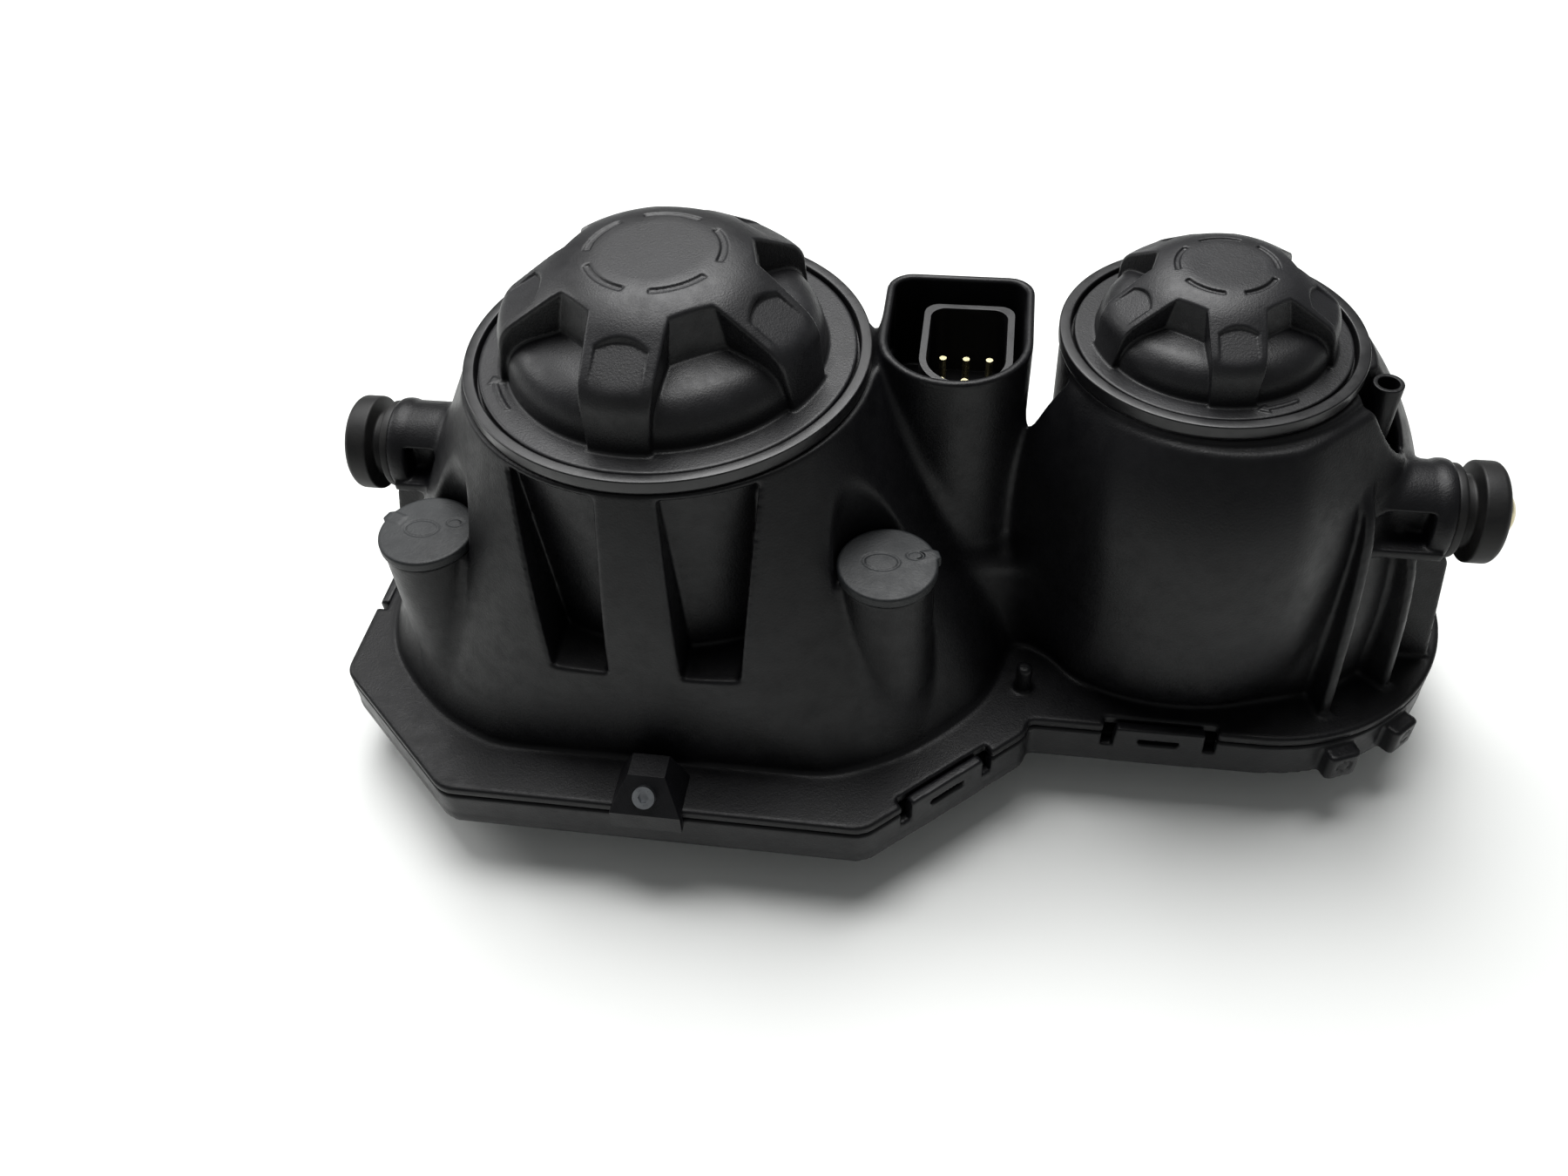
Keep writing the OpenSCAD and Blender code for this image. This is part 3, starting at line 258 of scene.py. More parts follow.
def housing_skin(x, y, z):
    """The moulded housing without the cap seats' rims and the vent pipe, which are turned parts."""
    x, y, z = np.broadcast_arrays(x, y, z)
    edge = outline(x, y)
    large, small, front = large_bell(x, y, z), small_bell(x, y, z), barrel(x, y, z)
    for side in (-1, 1):
        px, py = x - LARGE_X - side * POST_X, y - POST_Y
        scallop = trim(disc(px, py, POST_R + 1.4), POST_Z - 4 - z, 1)
        large = carve(large, scallop, 1.2)
    windows = trim(neck_windows(x, y, z), 49.3 - np.hypot(x - LARGE_X, y), 0.8)
    bells = blend(carve(large, windows, 1.2), blend(small, front, 1), 5)
    shape = trim(carve(bells, vent_recess(x, y, z), 2), z - RING_Z + 3.4, 0.5)
    tower = trim(shroud_plan(x, y), z - RING_Z, 1)
    shape = blend(shape, tower, 5)
    saddle = trim(plate(x - 33, y - 16, 15, 24, 4), z - 62, 5)
    shape = blend(shape, saddle, 8)
    for side in (-1, 1):
        post = disc(x - LARGE_X - side * POST_X, y - POST_Y, POST_R)
        shape = blend(shape, trim(post, z - POST_Z + 3.1, 0.6), 2.2)
        shape = blend(shape, pivot_arm(x, y, z, side), 2.2)
    for turn, points in FINS:
        shape = blend(shape, fin(x, y, z, turn, points), 1.5)
    flange = trim(edge, slab(z, FLANGE_Z, FLANGE_TOP), 1)
    for place, angle in TABS:
        tx, ty = beside_tab(x, y, place, angle)
        flange = carve(flange, np.maximum(np.abs(tx) - TAB_W / 2 - 3.2, ty - 3.2), 0.5)
    shape = blend(shape, flange, 1.6)
    stub = trim(disc(x - 38.5, y + 25, 2.2), slab(z, 29, 40), 0.8)
    shape = blend(shape, stub, 1.2)
    shape = np.maximum(shape, FLANGE_Z - z)
    # hollows: both chambers, the posts' bores, the connector shroud and its latch window
    hollow = np.minimum(np.minimum(large, small), front) + WALL
    hollow = np.maximum(hollow, -np.maximum(neck_windows(x, y, z) - WALL, 47 - np.hypot(x - LARGE_X, y)))
    hollow = np.maximum(hollow, WALL - vent_recess(x, y, z))
    shaft = np.maximum(shroud_plan(x, y) + WALL, z - SHROUD_FLOOR + 3)
    hollow = np.minimum(np.maximum(hollow, z - RING_Z + 8), shaft)
    shape = np.maximum(shape, -hollow)
    for px, py, r in ((LARGE_X, LARGE_Y, LARGE_R), (SMALL_X, SMALL_Y, SMALL_R)):
        shape = np.maximum(shape, -np.maximum(disc(x - px, y - py, r + 1.2), LEDGE_Z - z))
        shape = np.maximum(shape, -np.maximum(disc(x - px, y - py, r - 3.5), THROAT_Z - z))
    socket = np.maximum(shroud_plan(x, y) + 2.2, SHROUD_FLOOR - z)
    shape = carve(shape, socket, 0.9)
    latch = plate(y - SHROUD_BACK + 15.5, z - RING_Z + 12, 6.5, 7, 1.5)
    shape = carve(shape, np.maximum(latch, np.abs(x - SHROUD_X + SHROUD_R) - 5), 0.5)
    for side in (-1, 1):
        bore = np.maximum(disc(x - LARGE_X - side * POST_X, y - POST_Y, POST_R - WALL), 60 - z)
        shape = np.maximum(shape, -bore)
    return shape


# Snap tabs: middle of each on the outline, and the turn of its side
diagonal = (LARGE_X + SIDE_W - CUT_W / 2, -(SIDE_D - CUT_D / 2))
TABS = [((SMALL_X, END_Y - END_R), 0), (diagonal, math.atan2(CUT_D, CUT_W)),
        ((LARGE_X - SIDE_W, 0), -math.pi / 2), ((LARGE_X, SIDE_D), math.pi),
        ((SMALL_X + 6, END_Y + END_R), math.pi)]


def beside_tab(x, y, place, angle):
    """Distances along the outline from a tab's middle, and inwards from its side."""
    c, s = math.cos(angle), math.sin(angle)
    return (x - place[0]) * c + (y - place[1]) * s, (y - place[1]) * c - (x - place[0]) * s


def snap_frame(x, y, z):
    """The grey strip round the flange with its notched snap tabs and two lugs."""
    x, y, z = np.broadcast_arrays(x, y, z)
    edge = outline(x, y)
    strip = trim(trim(edge, -edge - 3, 0.4), slab(z, FRAME_Z, FLANGE_Z - 0.7), 0.9)
    lip = np.maximum(np.maximum(edge, -edge - 8.3), slab(z, FRAME_Z, FRAME_Z + 2.4))
    shape = blend(strip, lip, 0.8)
    for place, angle in TABS:
        tx, ty = beside_tab(x, y, place, angle)
        tab = plate(tx, z - FRAME_Z - TAB_H / 2, TAB_W / 2, TAB_H / 2, 0.8)
        shape = blend(shape, trim(tab, slab(ty, -0.3, 2.7), 0.5), 0.4)
        slot = np.maximum(plate(tx, z - FLANGE_Z + 2.9, 5.5, 1.1, 0.5), ty - 4)
        notch = np.maximum(np.abs(np.abs(tx) - TAB_W / 2 - 1.7) - 1.6, ty - 4)
        notch = np.maximum(notch, FLANGE_Z - 5.5 - z)
        shape = carve(carve(shape, slot, 0.4), notch, 0.5)
    for turn in (-66, -45):
        along, across = round_end(x, y, turn)
        lug = trim(plate(along - END_R, across, 4.5, 4.6, 1.6), slab(z, FRAME_Z + 0.6, FRAME_Z + 9.5), 0.8)
        eye = np.maximum(np.abs(np.hypot(across, z - FRAME_Z - 5.5) - 1.9) - 0.35, END_R + 3.9 - along)
        shape = blend(shape, carve(lug, eye, 0.2), 0.8)
    return shape


def lens_skin(x, y, z):
    """A clear shell with leaning walls and a flat face."""
    x, y, z = np.broadcast_arrays(x, y, z)
    lean = 8.8 + 13 * np.clip((20.5 - z) / 20.5, 0, 1)
    body = trim((outline(x, y) + lean) * 0.85, -z, 6)
    return np.maximum(np.maximum(body, -body - 2.6), z - 20.9)


# ---------- caps ----------
RIBS = 5


def cap_skin(r, rib_turn, arrow_turn):
    """Field of one cap of flange radius r, round the Z axis, with z = 0 at its seat's rim."""
    def field(x, y, z):
        x, y, z = np.broadcast_arrays(x, y, z)
        rho = np.hypot(x, y)
        turn = np.arctan2(y, x) - math.radians(rib_turn)
        sector = 2 * math.pi / RIBS
        from_rib = (turn + sector / 2) % sector - sector / 2
        from_pocket = turn % sector - sector / 2
        across, along = rho * np.sin(from_rib), rho * np.cos(from_rib)
        flange = trim(rho - r, slab(z, -2.4, 0), 0.5)
        # the puck: a low drum with a big round shoulder, seen in the pockets
        shoulder = (z - 0.30 * r + 0.25 * (rho - 0.5 * r)) * 0.97
        puck = trim((rho - 0.845 * r) * 0.99 + z * 0.08, shoulder, 0.16 * r)
        puck = trim(puck, -z - 2, 0.1)
        # hub and ribs share one envelope: flat disc, cone, then a steep foot
        slope = math.atan2(CAP_TOP - 0.31, 0.84 - 0.43)
        cone = (z - 0.31 * r) * math.cos(slope) + (rho - 0.84 * r) * math.sin(slope)
        foot = (rho - 0.88 * r) * 0.97 + z * 0.12
        shell = trim(trim(cone, z - CAP_TOP * r, 0.10 * r), foot, 0.07 * r)
        hub = rho * np.cos(from_pocket) - (0.56 - 0.12 * z / r) * r
        rib = np.abs(across) - (0.160 + 0.08 * z / r) * r
        grip = trim(shell, np.minimum(hub, rib), 0.014 * r)
        shape = blend(blend(grip, puck, 0.014 * r), flange, 0.016 * r)
        # dashed ring round the disc on the top
        dash = np.maximum(np.abs(rho - 0.345 * r) - 0.017 * r, CAP_TOP * r - 0.8 - z)
        dash = np.maximum(dash, (np.abs(from_pocket) - math.radians(25)) * rho)
        shape = carve(shape, dash, 0.3)
        # panel let into each rib, deepest at its arched head
        level = CAP_TOP * r - math.tan(slope) * (along - 0.43 * r)
        depth = 0.036 * r * np.clip((0.88 * r - along) / (0.3 * r), 0, 1)
        panel = np.maximum(np.abs(across) - 0.132 * r, 0.585 * r - along + 2.2 * across ** 2 / r)
        panel = np.maximum(panel, (level - depth - z) * 0.82)
        shape = carve(shape, panel, 0.012 * r)
        # plain opening arrow on the flange
        arc = (np.arctan2(y, x) - math.radians(arrow_turn) + math.pi) % (2 * math.pi) - math.pi
        run = arc * rho
        shaft = np.maximum(np.abs(rho - 0.915 * r) - 0.014 * r, np.abs(run - 0.12 * r) - 0.12 * r)
        head = np.maximum(np.abs(rho - 0.915 * r) - 0.045 * r - run * 0.6, np.maximum(run, -run - 0.075 * r))
        arrow = np.maximum(np.minimum(shaft, head), slab(z, -0.5, 0.35))
        shape = np.minimum(shape, arrow)
        # skirt down into the seat, and the hollow inside it and the puck
        skirt = np.maximum(rho - r + 4.35, slab(z, -14, -1))
        hollow = np.maximum(trim(rho - 0.66 * r, z - 0.19 * r, 4), -z - 10)
        hollow = np.minimum(hollow, np.maximum(rho - r + 7, slab(z, -20, -1)))
        return np.maximum(np.minimum(shape, skirt), -hollow)
    return field


def cover_skin(side):
    """A tower's cover: a flat disc with a soft edge, a shallow ring and a pull tab."""
    def field(x, y, z):
        x, y, z = np.broadcast_arrays(x, y, z)
        rho = np.hypot(x, y)
        top = trim(rho - POST_R - 0.7, slab(z, -3, 0), 0.9)
        angle = math.radians(160 if side < 0 else 20)
        along, across = x * math.cos(angle) + y * math.sin(angle), y * math.cos(angle) - x * math.sin(angle)
        tab = trim(trim(np.abs(across) - 1.5, slab(along, 8, POST_R + 1.6), 0.5), slab(z, -3, 0), 0.5)
        shape = blend(top, tab, 0.8)
        for px, py, r in ((-1.5, 0.5, 4.4), (6.6, 3.4, 2.0)):
            ring = np.maximum(np.abs(np.hypot(x - px, (y - py) * 1.5) - r) - 0.32, -z - 0.25)
            shape = carve(shape, ring, 0.2)
        plug = np.maximum(rho - POST_R + WALL + 0.3, slab(z, -8, -2))
        return np.minimum(shape, plug)
    return field


# ---------- meshes ----------
def skin(name, low, high, step, field, at=(0, 0, 0)):
    """Meshes where a field crosses zero: a net of one point per crossed cell, pulled onto the shape."""
    axes = [np.arange(low[i], high[i] + step, step, dtype=np.float32) for i in range(3)]
    grid = np.ix_(*axes)
    depth = np.ascontiguousarray(np.broadcast_to(field(*grid), [len(a) for a in axes]))
    inside = depth < 0
    cells = [n - 1 for n in depth.shape]
    count = np.zeros(cells, dtype=np.int8)
    steps = [(i, j, k) for i in (0, 1) for j in (0, 1) for k in (0, 1)]
    for i, j, k in steps:
        count += inside[i:cells[0] + i, j:cells[1] + j, k:cells[2] + k]
    used = np.argwhere((count > 0) & (count < 8))
    index = np.zeros(cells, dtype=np.int32)
    index[tuple(used.T)] = np.arange(len(used))
    total, crossings = np.zeros((len(used), 3)), np.zeros(len(used))
    for a in steps:
        for axis in range(3):
            if a[axis]:
                continue
            b = tuple(a[i] + (i == axis) for i in range(3))
            da, db = depth[tuple((used + a).T)], depth[tuple((used + b).T)]
            hit = (da < 0) != (db < 0)
            share = np.where(hit, da / np.where(hit, da - db, 1), 0)
            point = np.array(a) + share[:, None] * (np.array(b) - a)
            total += point * hit[:, None]
            crossings += hit
    points = np.array(low) + (used + total / crossings[:, None]) * step
    quads = []
    for axis in range(3):
        u, w = (axis + 1) % 3, (axis + 2) % 3
        keep = [slice(1, -1)] * 3
        first, second = list(keep), list(keep)
        first[axis], second[axis] = slice(0, -1), slice(1, None)
        before, after = inside[tuple(first)], inside[tuple(second)]
        at_edge = np.argwhere(before != after)
        starts_inside = before[tuple(at_edge.T)]
        at_edge[:, u] += 1
        at_edge[:, w] += 1
        eu, ew = np.eye(3, dtype=int)[u], np.eye(3, dtype=int)[w]
        quad = np.stack([index[tuple((at_edge - e).T)] for e in (eu + ew, ew, 0 * eu, eu)], axis=1)
        quad[~starts_inside] = quad[~starts_inside][:, ::-1]
        quads.append(quad)
    for _ in range(3):
        points = pull(points, field, step)
    return new_mesh(name, points + np.array(at), np.concatenate(quads))


def pull(points, field, reach):
    """Moves points along the field's slope onto its zero."""
    h = 0.05
    value = field(*points.T)
    ahead = [field(*(points + h * e).T) for e in np.eye(3)]
    behind = [field(*(points - h * e).T) for e in np.eye(3)]
    slope = np.stack([(a - b) / (2 * h) for a, b in zip(ahead, behind)], axis=1)
    size = np.maximum((slope ** 2).sum(axis=1), 0.2)
    move = -(value / size)[:, None] * slope
    length = np.maximum(np.linalg.norm(move, axis=1), 1e-9)
    return points + move * np.minimum(1, 0.6 * reach / length)[:, None]


def new_mesh(name, points, faces):
    """A smooth-shaded object from points in millimetres and faces of one size."""
    mesh = bpy.data.meshes.new(name)
    size = faces.shape[1]
    mesh.vertices.add(len(points))
    mesh.vertices.foreach_set("co", (np.asarray(points) * MM).astype(np.float32).ravel())
    mesh.loops.add(faces.size)
    mesh.loops.foreach_set("vertex_index", faces.astype(np.int32).ravel())
    mesh.polygons.add(len(faces))
    mesh.polygons.foreach_set("loop_start", np.arange(0, faces.size, size, dtype=np.int32))
    mesh.update(calc_edges=True)
    mesh.validate()
    mesh.shade_smooth()
    piece = bpy.data.objects.new(name, mesh)
    bpy.context.collection.objects.link(piece)
    return piece


def soften(profile, r, steps=4):
    """A closed profile with each corner rounded by r, or by less where its sides are short."""
    out = []
    n = len(profile)
    for i, corner in enumerate(profile):
        corner = np.array(corner, dtype=float)
        sides = [np.array(p, dtype=float) - corner for p in (profile[i - 1], profile[(i + 1) % n])]
        reach = min(r, *(0.45 * np.linalg.norm(s) for s in sides))
        a, b = [corner + s / max(np.linalg.norm(s), 1e-9) * reach for s in sides]
        for k in range(steps + 1):
            t = k / steps
            out.append((1 - t) ** 2 * a + 2 * t * (1 - t) * corner + t * t * b)
    return np.array(out)


def turned(name, profile, centre, axis="z", side=1, segments=128):
    """A closed profile of (radius, height) turned round an axis through centre."""
    n = len(profile)
    angle = np.arange(segments) * 2 * math.pi / segments
    radius, height = profile[:, 0], profile[:, 1]
    ring = np.stack([np.outer(np.cos(angle), radius), np.outer(np.sin(angle), radius),
                     np.outer(np.ones(segments), height)], axis=2)
    if axis == "x":
        ring = ring[:, :, [2, 0, 1]] * [side, side, 1]
    points = ring.reshape(-1, 3) + np.array(centre)
    i, k = np.meshgrid(np.arange(segments), np.arange(n), indexing="ij")
    j, m = (i + 1) % segments, (k + 1) % n
    faces = np.stack([i * n + k, j * n + k, j * n + m, i * n + m], axis=2).reshape(-1, 4)
    piece = new_mesh(name, points, faces)
    tidy = bmesh.new()
    tidy.from_mesh(piece.data)
    bmesh.ops.remove_doubles(tidy, verts=tidy.verts, dist=1e-6)
    bmesh.ops.recalc_face_normals(tidy, faces=tidy.faces)
    tidy.to_mesh(piece.data)
    tidy.free()
    return piece


def eased(node, name, width, segments=2):
    """A copy of a CAD node's mesh with its hard edges rounded by width."""
    mesh = frame["nodes"][node].data.copy()
    piece = bpy.data.objects.new(name, mesh)
    bpy.context.collection.objects.link(piece)
    tidy = bmesh.new()
    tidy.from_mesh(mesh)
    bmesh.ops.remove_doubles(tidy, verts=tidy.verts, dist=2e-6)
    bmesh.ops.dissolve_limit(tidy, angle_limit=math.radians(1), verts=tidy.verts, edges=tidy.edges)
    tidy.to_mesh(mesh)
    tidy.free()
    mesh.shade_smooth()
    bevel = piece.modifiers.new("eased edges", "BEVEL")
    bevel.width = width * MM
    bevel.segments = segments
    bevel.limit_method = "ANGLE"
    bevel.angle_limit = math.radians(35)
    bevel.harden_normals = False
    weigh = piece.modifiers.new("even shading", "WEIGHTED_NORMAL")
    weigh.keep_sharp = True
    return piece


# ---------- materials ----------
def colour(code):
    """sRGB hex to linear."""
    parts = [int(code[i:i + 2], 16) / 255 for i in (1, 3, 5)]
    return [c / 12.92 if c <= 0.04045 else ((c + 0.055) / 1.055) ** 2.4 for c in parts] + [1]


def add(tree, kind, settings=None, **inputs):
    """Adds one shader node with its settings; an input is a value or another node's output."""
    node = tree.nodes.new("ShaderNode" + kind)
    for key, value in (settings or {}).items():
        setattr(node, key, value)
    for key, value in inputs.items():
        name = key.replace("_", " ")
        socket = node.inputs[name] if name in node.inputs else node.inputs[int(key[1:])]
        if isinstance(value, bpy.types.NodeSocket):
            tree.links.new(value, socket)
        else:
            socket.default_value = value
    return node


def shader(name, **inputs):
    """A material with one principled shader, its tree, its shader and the place on the object."""
    material = bpy.data.materials.new(name)
    material.use_nodes = True
    tree = material.node_tree
    base = tree.nodes["Principled BSDF"]
    for key, value in inputs.items():
        base.inputs[key.replace("_", " ")].default_value = value
    place = add(tree, "TexCoord").outputs["Object"]
    return material, tree, base, place


def per(mm):
    """A pattern's scale, from the real size of one of its spots."""
    return 1 / (mm * MM)


def surface(tree, base, dark, light, drift, gloss, wear, height, strength, depth_mm):
    """Two tones that drift into each other, uneven gloss and a fine relief.
    drift and wear are a pattern and its range in use; gloss is the roughness at that range's ends."""
    share = add(tree, "MapRange", None, Value=drift[0], From_Min=drift[1], From_Max=drift[2])
    tones = add(tree, "Mix", {"data_type": "RGBA"}, i0=share.outputs[0], i6=colour(dark), i7=colour(light))
    tree.links.new(tones.outputs[2], base.inputs["Base Color"])
    worn = add(tree, "MapRange", None, Value=wear[0], From_Min=wear[1], From_Max=wear[2],
               To_Min=gloss[0], To_Max=gloss[1])
    tree.links.new(worn.outputs[0], base.inputs["Roughness"])
    relief = add(tree, "Bump", None, Strength=strength, Distance=depth_mm * MM, Height=height)
    tree.links.new(relief.outputs[0], base.inputs["Normal"])


def moulded(name, dark, light, rough, grain_mm, bump, gloss=0.5):
    """Spark-eroded black thermoplastic: a fine even grain that breaks up the light, with faint
    cloudy patches where the mould has polished and slightly greyed high spots."""
    material, tree, base, place = shader(name, IOR=1.5, Specular_IOR_Level=gloss)
    cloud = add(tree, "TexNoise", None, Vector=place, Scale=per(28), Detail=4, Roughness=0.6)
    grain = add(tree, "TexNoise", None, Vector=place, Scale=per(grain_mm), Detail=2, Roughness=0.5)
    pits = add(tree, "TexVoronoi", None, Vector=place, Scale=per(1.6 * grain_mm))
    scuff = add(tree, "TexNoise", None, Vector=place, Scale=per(6), Detail=6, Roughness=0.75)
    height = add(tree, "Math", {"operation": "MULTIPLY_ADD"},
                 i0=pits.outputs[0], i1=0.5, i2=grain.outputs[0])
    surface(tree, base, dark, light, (cloud.outputs[0], 0.35, 0.7), (rough - 0.05, rough + 0.12),
            (scuff.outputs[0], 0.4, 0.75), height.outputs[0], bump, 0.25)
    return material


def rubber(name, dark, light, rough):
    """Moulded rubber: soft, dull and slightly dusty, with a faint bloom."""
    material, tree, base, place = shader(name, IOR=1.5, Specular_IOR_Level=0.35)
    bloom = add(tree, "TexNoise", None, Vector=place, Scale=per(7), Detail=5, Roughness=0.7).outputs[0]
    fine = add(tree, "TexNoise", None, Vector=place, Scale=per(0.6), Detail=2).outputs[0]
    surface(tree, base, dark, light, (bloom, 0.4, 0.7), (rough - 0.06, rough + 0.1), (bloom, 0.3, 0.8),
            fine, 0.2, 0.1)
    return material


def plated(name, dark, light, rough):
    """Plated metal: bright, with fine scratches and slightly uneven tone."""
    material, tree, base, place = shader(name, Metallic=1.0)
    tone = add(tree, "TexNoise", None, Vector=place, Scale=per(5), Detail=4).outputs[0]
    scratches = add(tree, "TexNoise", None, Vector=place, Scale=per(0.9), Detail=5, Roughness=0.7)
    fine = scratches.outputs[0]
    surface(tree, base, dark, light, (tone, 0.35, 0.7), (rough - 0.05, rough + 0.12), (fine, 0.3, 0.75),
            fine, 0.06, 0.05)
    return material


def clear(name, tone, rough, ior):
    """Clear hard-coated polycarbonate or quartz glass: light passes straight, edges go dark."""
    material, tree, base, place = shader(name, IOR=ior, Transmission_Weight=1.0, Roughness=rough)
    haze = add(tree, "TexNoise", None, Vector=place, Scale=per(12), Detail=4)
    share = add(tree, "MapRange", None, Value=haze.outputs[0], From_Min=0.3, From_Max=0.7)
    tones = add(tree, "Mix", {"data_type": "RGBA"},
                i0=share.outputs[0], i6=colour(tone), i7=colour("#ffffff"))
    tree.links.new(tones.outputs[2], base.inputs["Base Color"])
    return material


def metallised(name):
    """Vacuum-metallised reflector: near mirror, with a faint orange-peel of the lacquer below."""
    material, tree, base, place = shader(name, Metallic=1.0, Roughness=0.06)
    drift = add(tree, "TexNoise", None, Vector=place, Scale=per(30))
    tones = add(tree, "Mix", {"data_type": "RGBA"},
                i0=drift.outputs[0], i6=colour("#d9dadd"), i7=colour("#eeeff1"))
    tree.links.new(tones.outputs[2], base.inputs["Base Color"])
    peel = add(tree, "TexNoise", None, Vector=place, Scale=per(4), Detail=1)
    relief = add(tree, "Bump", None, Strength=0.05, Distance=0.1 * MM, Height=peel.outputs[0])
    tree.links.new(relief.outputs[0], base.inputs["Normal"])
    return material


# Polypropylene straight from an eroded mould: nearly black, with a low satin gloss
housing_plastic = moulded("moulded housing polypropylene", "#08080a", "#0e0e11", 0.44, 0.45, 0.2, 0.26)
# The same plastic where the mould is polished: smoother, so the rims catch a thin light
rim_plastic = moulded("moulded seat rims", "#0b0b0d", "#111113", 0.34, 0.5, 0.03, 0.45)
# Glass-filled nylon: a shade greyer and drier than the housing
cap_plastic = moulded("moulded cap nylon", "#101012", "#18181b", 0.44, 0.4, 0.18, 0.38)
# Unpainted polypropylene, coarse and dull: the greyest of the black parts
cover_plastic = moulded("moulded cover polypropylene", "#121416", "#1b1e20", 0.55, 0.5, 0.2, 0.4)
# A second moulding, slightly lighter and glossier than the housing
frame_plastic = moulded("moulded frame polypropylene", "#0b0b0e", "#131316", 0.4, 0.45, 0.18, 0.3)
# Polyamide with a smooth mould: clean and a little shiny
connector_plastic = moulded("moulded connector polyamide", "#0c0c0e", "#151517", 0.36, 0.5, 0.1)
# Matt paint behind the lens, so that it doesn't glare
bezel_plastic = moulded("painted bezel polycarbonate", "#0e0e10", "#151517", 0.45, 0.4, 0.12)
# Unfilled nylon: milky off-white
nylon = moulded("natural nylon", "#bdb9ab", "#d3d0c4", 0.5, 0.6, 0.1)
# Soft vinyl tube round the loom's wires
wire_sleeve = moulded("wire sleeve vinyl", "#141416", "#1d1d20", 0.4, 0.8, 0.08)
# Natural rubber with carbon black, dusty on its high spots
bush_rubber = rubber("moulded bush rubber", "#0b0b0c", "#171615", 0.55)
# Red-brown silicone of the sealing rings
seal_rubber = rubber("silicone seal rubber", "#2a1612", "#3a211b", 0.5)
# Yellow passivated zinc: a warm pale dome in each bush
pivot_metal = plated("yellow zinc-plated steel", "#b7ab84", "#d8cfae", 0.24)
# Clear passivated zinc: cool grey screws and clips
zinc = plated("clear zinc-plated steel", "#8f9296", "#b9bcc0", 0.3)
# Tinned brass with the brass just showing through
contact_metal = plated("tinned brass", "#b7ae86", "#d8d2b0", 0.25)
# Hard-coated lens and the bulbs' quartz
lens_clear = clear("hard-coated polycarbonate", "#eef3f4", 0.02, 1.585)
bulb_glass = clear("quartz glass", "#f6fafb", 0.0, 1.46)
# Aluminium film under lacquer
mirror_coat = metallised("vacuum-metallised reflector")


def dress(piece, material):
    """Gives a mesh one material."""
    piece.data.materials.clear()
    piece.data.materials.append(material)


def fit(piece, material, body, slot, *nodes):
    """Gives a piece its finish and its body, and hides the CAD nodes that it stands for."""
    dress(piece, material)
    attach(piece, body)
    if nodes:
        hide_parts(*nodes)


# ---------- housing pieces ----------
housing = skin("housing_shell", (-159, -80, FLANGE_Z - 1.5), (159, 80, RING_Z + 1.5),
               0.8, housing_skin)
fit(housing, housing_plastic, "housing", "housing_plastic", "housing")


def seat_rim(name, r, centre):
    """A cap seat's rim with its round lip, and the ledge that the cap's flange lies on."""
    inner, outer, ledge = r + 0.8, r + RIM_W + 0.5, r - 3.8
    top, step, foot = RING_Z + 0.6, RING_Z - 2.6, RING_Z - 4.6
    profile = soften([(ledge, step), (inner, step), (inner, top), (outer, top), (outer, step),
                      (outer - 1, foot), (ledge, foot)], 0.45)
    rim = turned(name, profile, (centre[0], centre[1], 0), segments=192)
    fit(rim, rim_plastic, "housing", "housing_plastic", "housing")


seat_rim("large_seat_rim", LARGE_R, (LARGE_X, LARGE_Y))
seat_rim("small_seat_rim", SMALL_R, (SMALL_X, SMALL_Y))

vent_foot, vent_top = 55, RING_Z - 4
vent_profile = soften([(VENT_BORE, vent_foot), (VENT_BORE, vent_top), (VENT_R, vent_top),
                       (VENT_R, vent_foot)], 0.35)
vent_pipe = turned("vent_pipe", vent_profile, (VENT_X, VENT_Y, 0), segments=48)
fit(vent_pipe, housing_plastic, "housing", "housing_plastic", "housing")

snap = skin("snap_frame", (-160, -80, FRAME_Z - 1.5), (162, 80, FRAME_Z + 16),
            0.8, snap_frame)
fit(snap, frame_plastic, "housing", "frame_plastic", "lens_frame")
lens = skin("clear_lens", (-157, -78, -1.5), (157, 78, 22.5), 0.9, lens_skin)
fit(lens, lens_clear, "housing", "lens_clear", "outer_lens")
bracket = eased("frame_bracket", "front_bracket", 0.6, 3)
fit(bracket, frame_plastic, "housing", "frame_plastic", "frame_bracket")
socket = eased("connector_body", "plug_socket", 0.45, 3)
fit(socket, connector_plastic, "housing", "connector_plastic", "connector_body")

# ---------- caps ----------
for name, r, centre, turns in (("large_cap", LARGE_R, (LARGE_X, LARGE_Y), (-94, -155)),
                               ("small_cap", SMALL_R, (SMALL_X, SMALL_Y), (-85, -70))):
    step = 0.5 * r / LARGE_R
    cap = skin(name + "_shell", (-r - 1.5, -r - 1.5, -15.5), (r + 1.5, r + 1.5, CAP_TOP * r + 1.5), step,
               cap_skin(r, *turns), at=(centre[0], centre[1], RING_Z))
    fit(cap, cap_plastic, name, "cap_plastic", name)

# ---------- adjuster covers ----------
for side, word in ((-1, "left"), (1, "right")):
    centre = (LARGE_X + side * POST_X, POST_Y, POST_Z)
    cover = skin(word + "_tower_cover", (-15, -15, -9), (15, 15, 1), 0.3, cover_skin(side), at=centre)
    fit(cover, cover_plastic, word + "_cover", "cover_plastic", word + "_adjuster_cover")

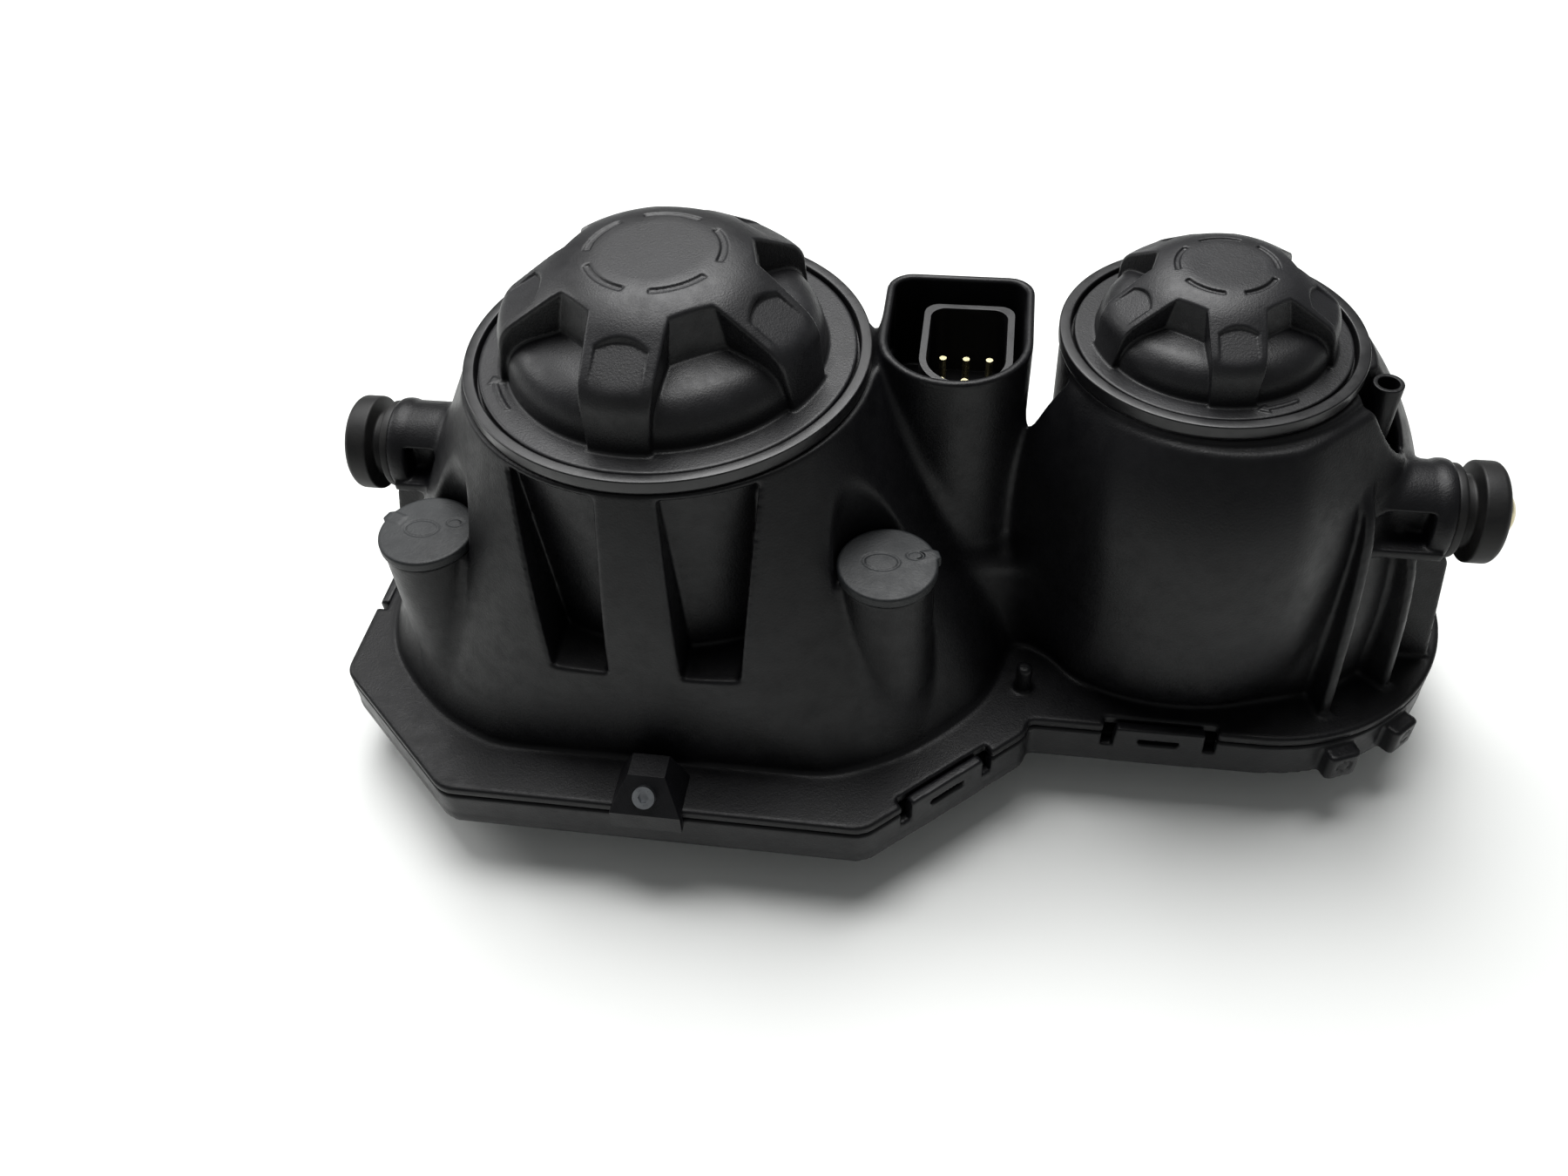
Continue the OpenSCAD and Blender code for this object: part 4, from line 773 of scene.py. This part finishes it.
# ---------- side pivots ----------
for side, word in ((-1, "left"), (1, "right")):
    length = PIVOT_END - COLLAR
    shape = [(BUSH_BORE, 0.05), (BUSH_R - 1, 0.05), (BUSH_R - 1, 2.4), (BUSH_R - 4, 3), (BUSH_R - 4, 5.4),
             (BUSH_R, 6), (BUSH_R, length - 1.2), (BUSH_R - 1.2, length), (BUSH_BORE, length)]
    shape = np.array(shape) + [0, COLLAR]
    bush = turned(word + "_bush_rubber", soften(shape, 0.7), (0, 0, PIVOT_Z), "x", side)
    fit(bush, bush_rubber, "housing", "rubber", word + "_bush")
    arc = [(PIN_R * math.cos(a), DOME_H * math.sin(a)) for a in np.linspace(0, math.pi / 2, 14)]
    dome = np.array([(0.01, 0), (PIN_R - 0.4, 0)] + arc[:-1] + [(0.01, DOME_H)]) + [0, PIVOT_END]
    pin = turned(word + "_pin_head", dome, (0, 0, PIVOT_Z), "x", side, 64)
    fit(pin, pivot_metal, "housing", "pivot_metal", word + "_pivot_pin")

# ---------- CAD nodes that keep their shape ----------
finishes = {
    "rubber": bush_rubber, "seal_rubber": seal_rubber, "steel": zinc, "contact_metal": contact_metal,
    "wire_sleeve": wire_sleeve, "nylon": nylon, "reflector_metal": mirror_coat,
    "bezel_plastic": bezel_plastic, "bulb_metal": zinc, "bulb_glass": bulb_glass,
    "connector_plastic": connector_plastic, "housing_plastic": housing_plastic,
    "frame_plastic": frame_plastic, "cap_plastic": cap_plastic, "cover_plastic": cover_plastic,
    "pivot_metal": pivot_metal, "lens_clear": lens_clear}
for part in frame["record"]["subparts"]:
    dress(frame["nodes"][part["node"]], finishes[part["material_slot"]])

# ---------- floor, light and camera ----------
def studio_floor():
    """A matt pale sheet."""
    material, tree, base, place = shader("matt white board", Roughness=0.6, IOR=1.45)
    drift = add(tree, "TexNoise", None, Vector=place, Scale=per(600), Detail=1)
    tones = add(tree, "Mix", {"data_type": "RGBA"},
                i0=drift.outputs[0], i6=colour("#e9ebe9"), i7=colour("#f3f4f2"))
    tree.links.new(tones.outputs[2], base.inputs["Base Color"])
    bpy.ops.mesh.primitive_plane_add(size=8, location=(0, 0, -0.0004))
    floor = bpy.context.object
    floor.name = "studio_floor"
    dress(floor, material)


def lamp(name, place, target, size, power):
    """A round white softbox that faces its target."""
    light = bpy.data.lights.new(name, "AREA")
    light.shape, light.size, light.energy = "DISK", size, power
    holder = bpy.data.objects.new(name, light)
    holder.location = place
    holder.rotation_euler = (Vector(target) - Vector(place)).to_track_quat("-Z", "Y").to_euler()
    bpy.context.collection.objects.link(holder)


studio_floor()
lamp("key_softbox", (-0.12, 0.46, 1.15), (0, 0, 0.05), 1.1, 25)
lamp("side_softbox", (-0.9, 0.25, 0.6), (0, 0, 0.05), 0.5, 3)
world = bpy.data.worlds.new("studio")
bpy.context.scene.world = world
world.use_nodes = True
background = world.node_tree.nodes["Background"]
background.inputs["Color"].default_value = colour("#f4f6f6")
background.inputs["Strength"].default_value = 0.2
bpy.context.scene.view_settings.view_transform = "Standard"

camera = bpy.data.objects.new("camera", bpy.data.cameras.new("camera"))
camera.data.lens, camera.data.sensor_width = 30, 36
camera.location = Vector((20.2, -261.3, 319.2)) * MM
camera.rotation_euler = Euler([math.radians(a) for a in (43.33, 2.73, 8.51)])
camera.data.clip_start = 0.01
bpy.context.collection.objects.link(camera)
bpy.context.scene.camera = camera
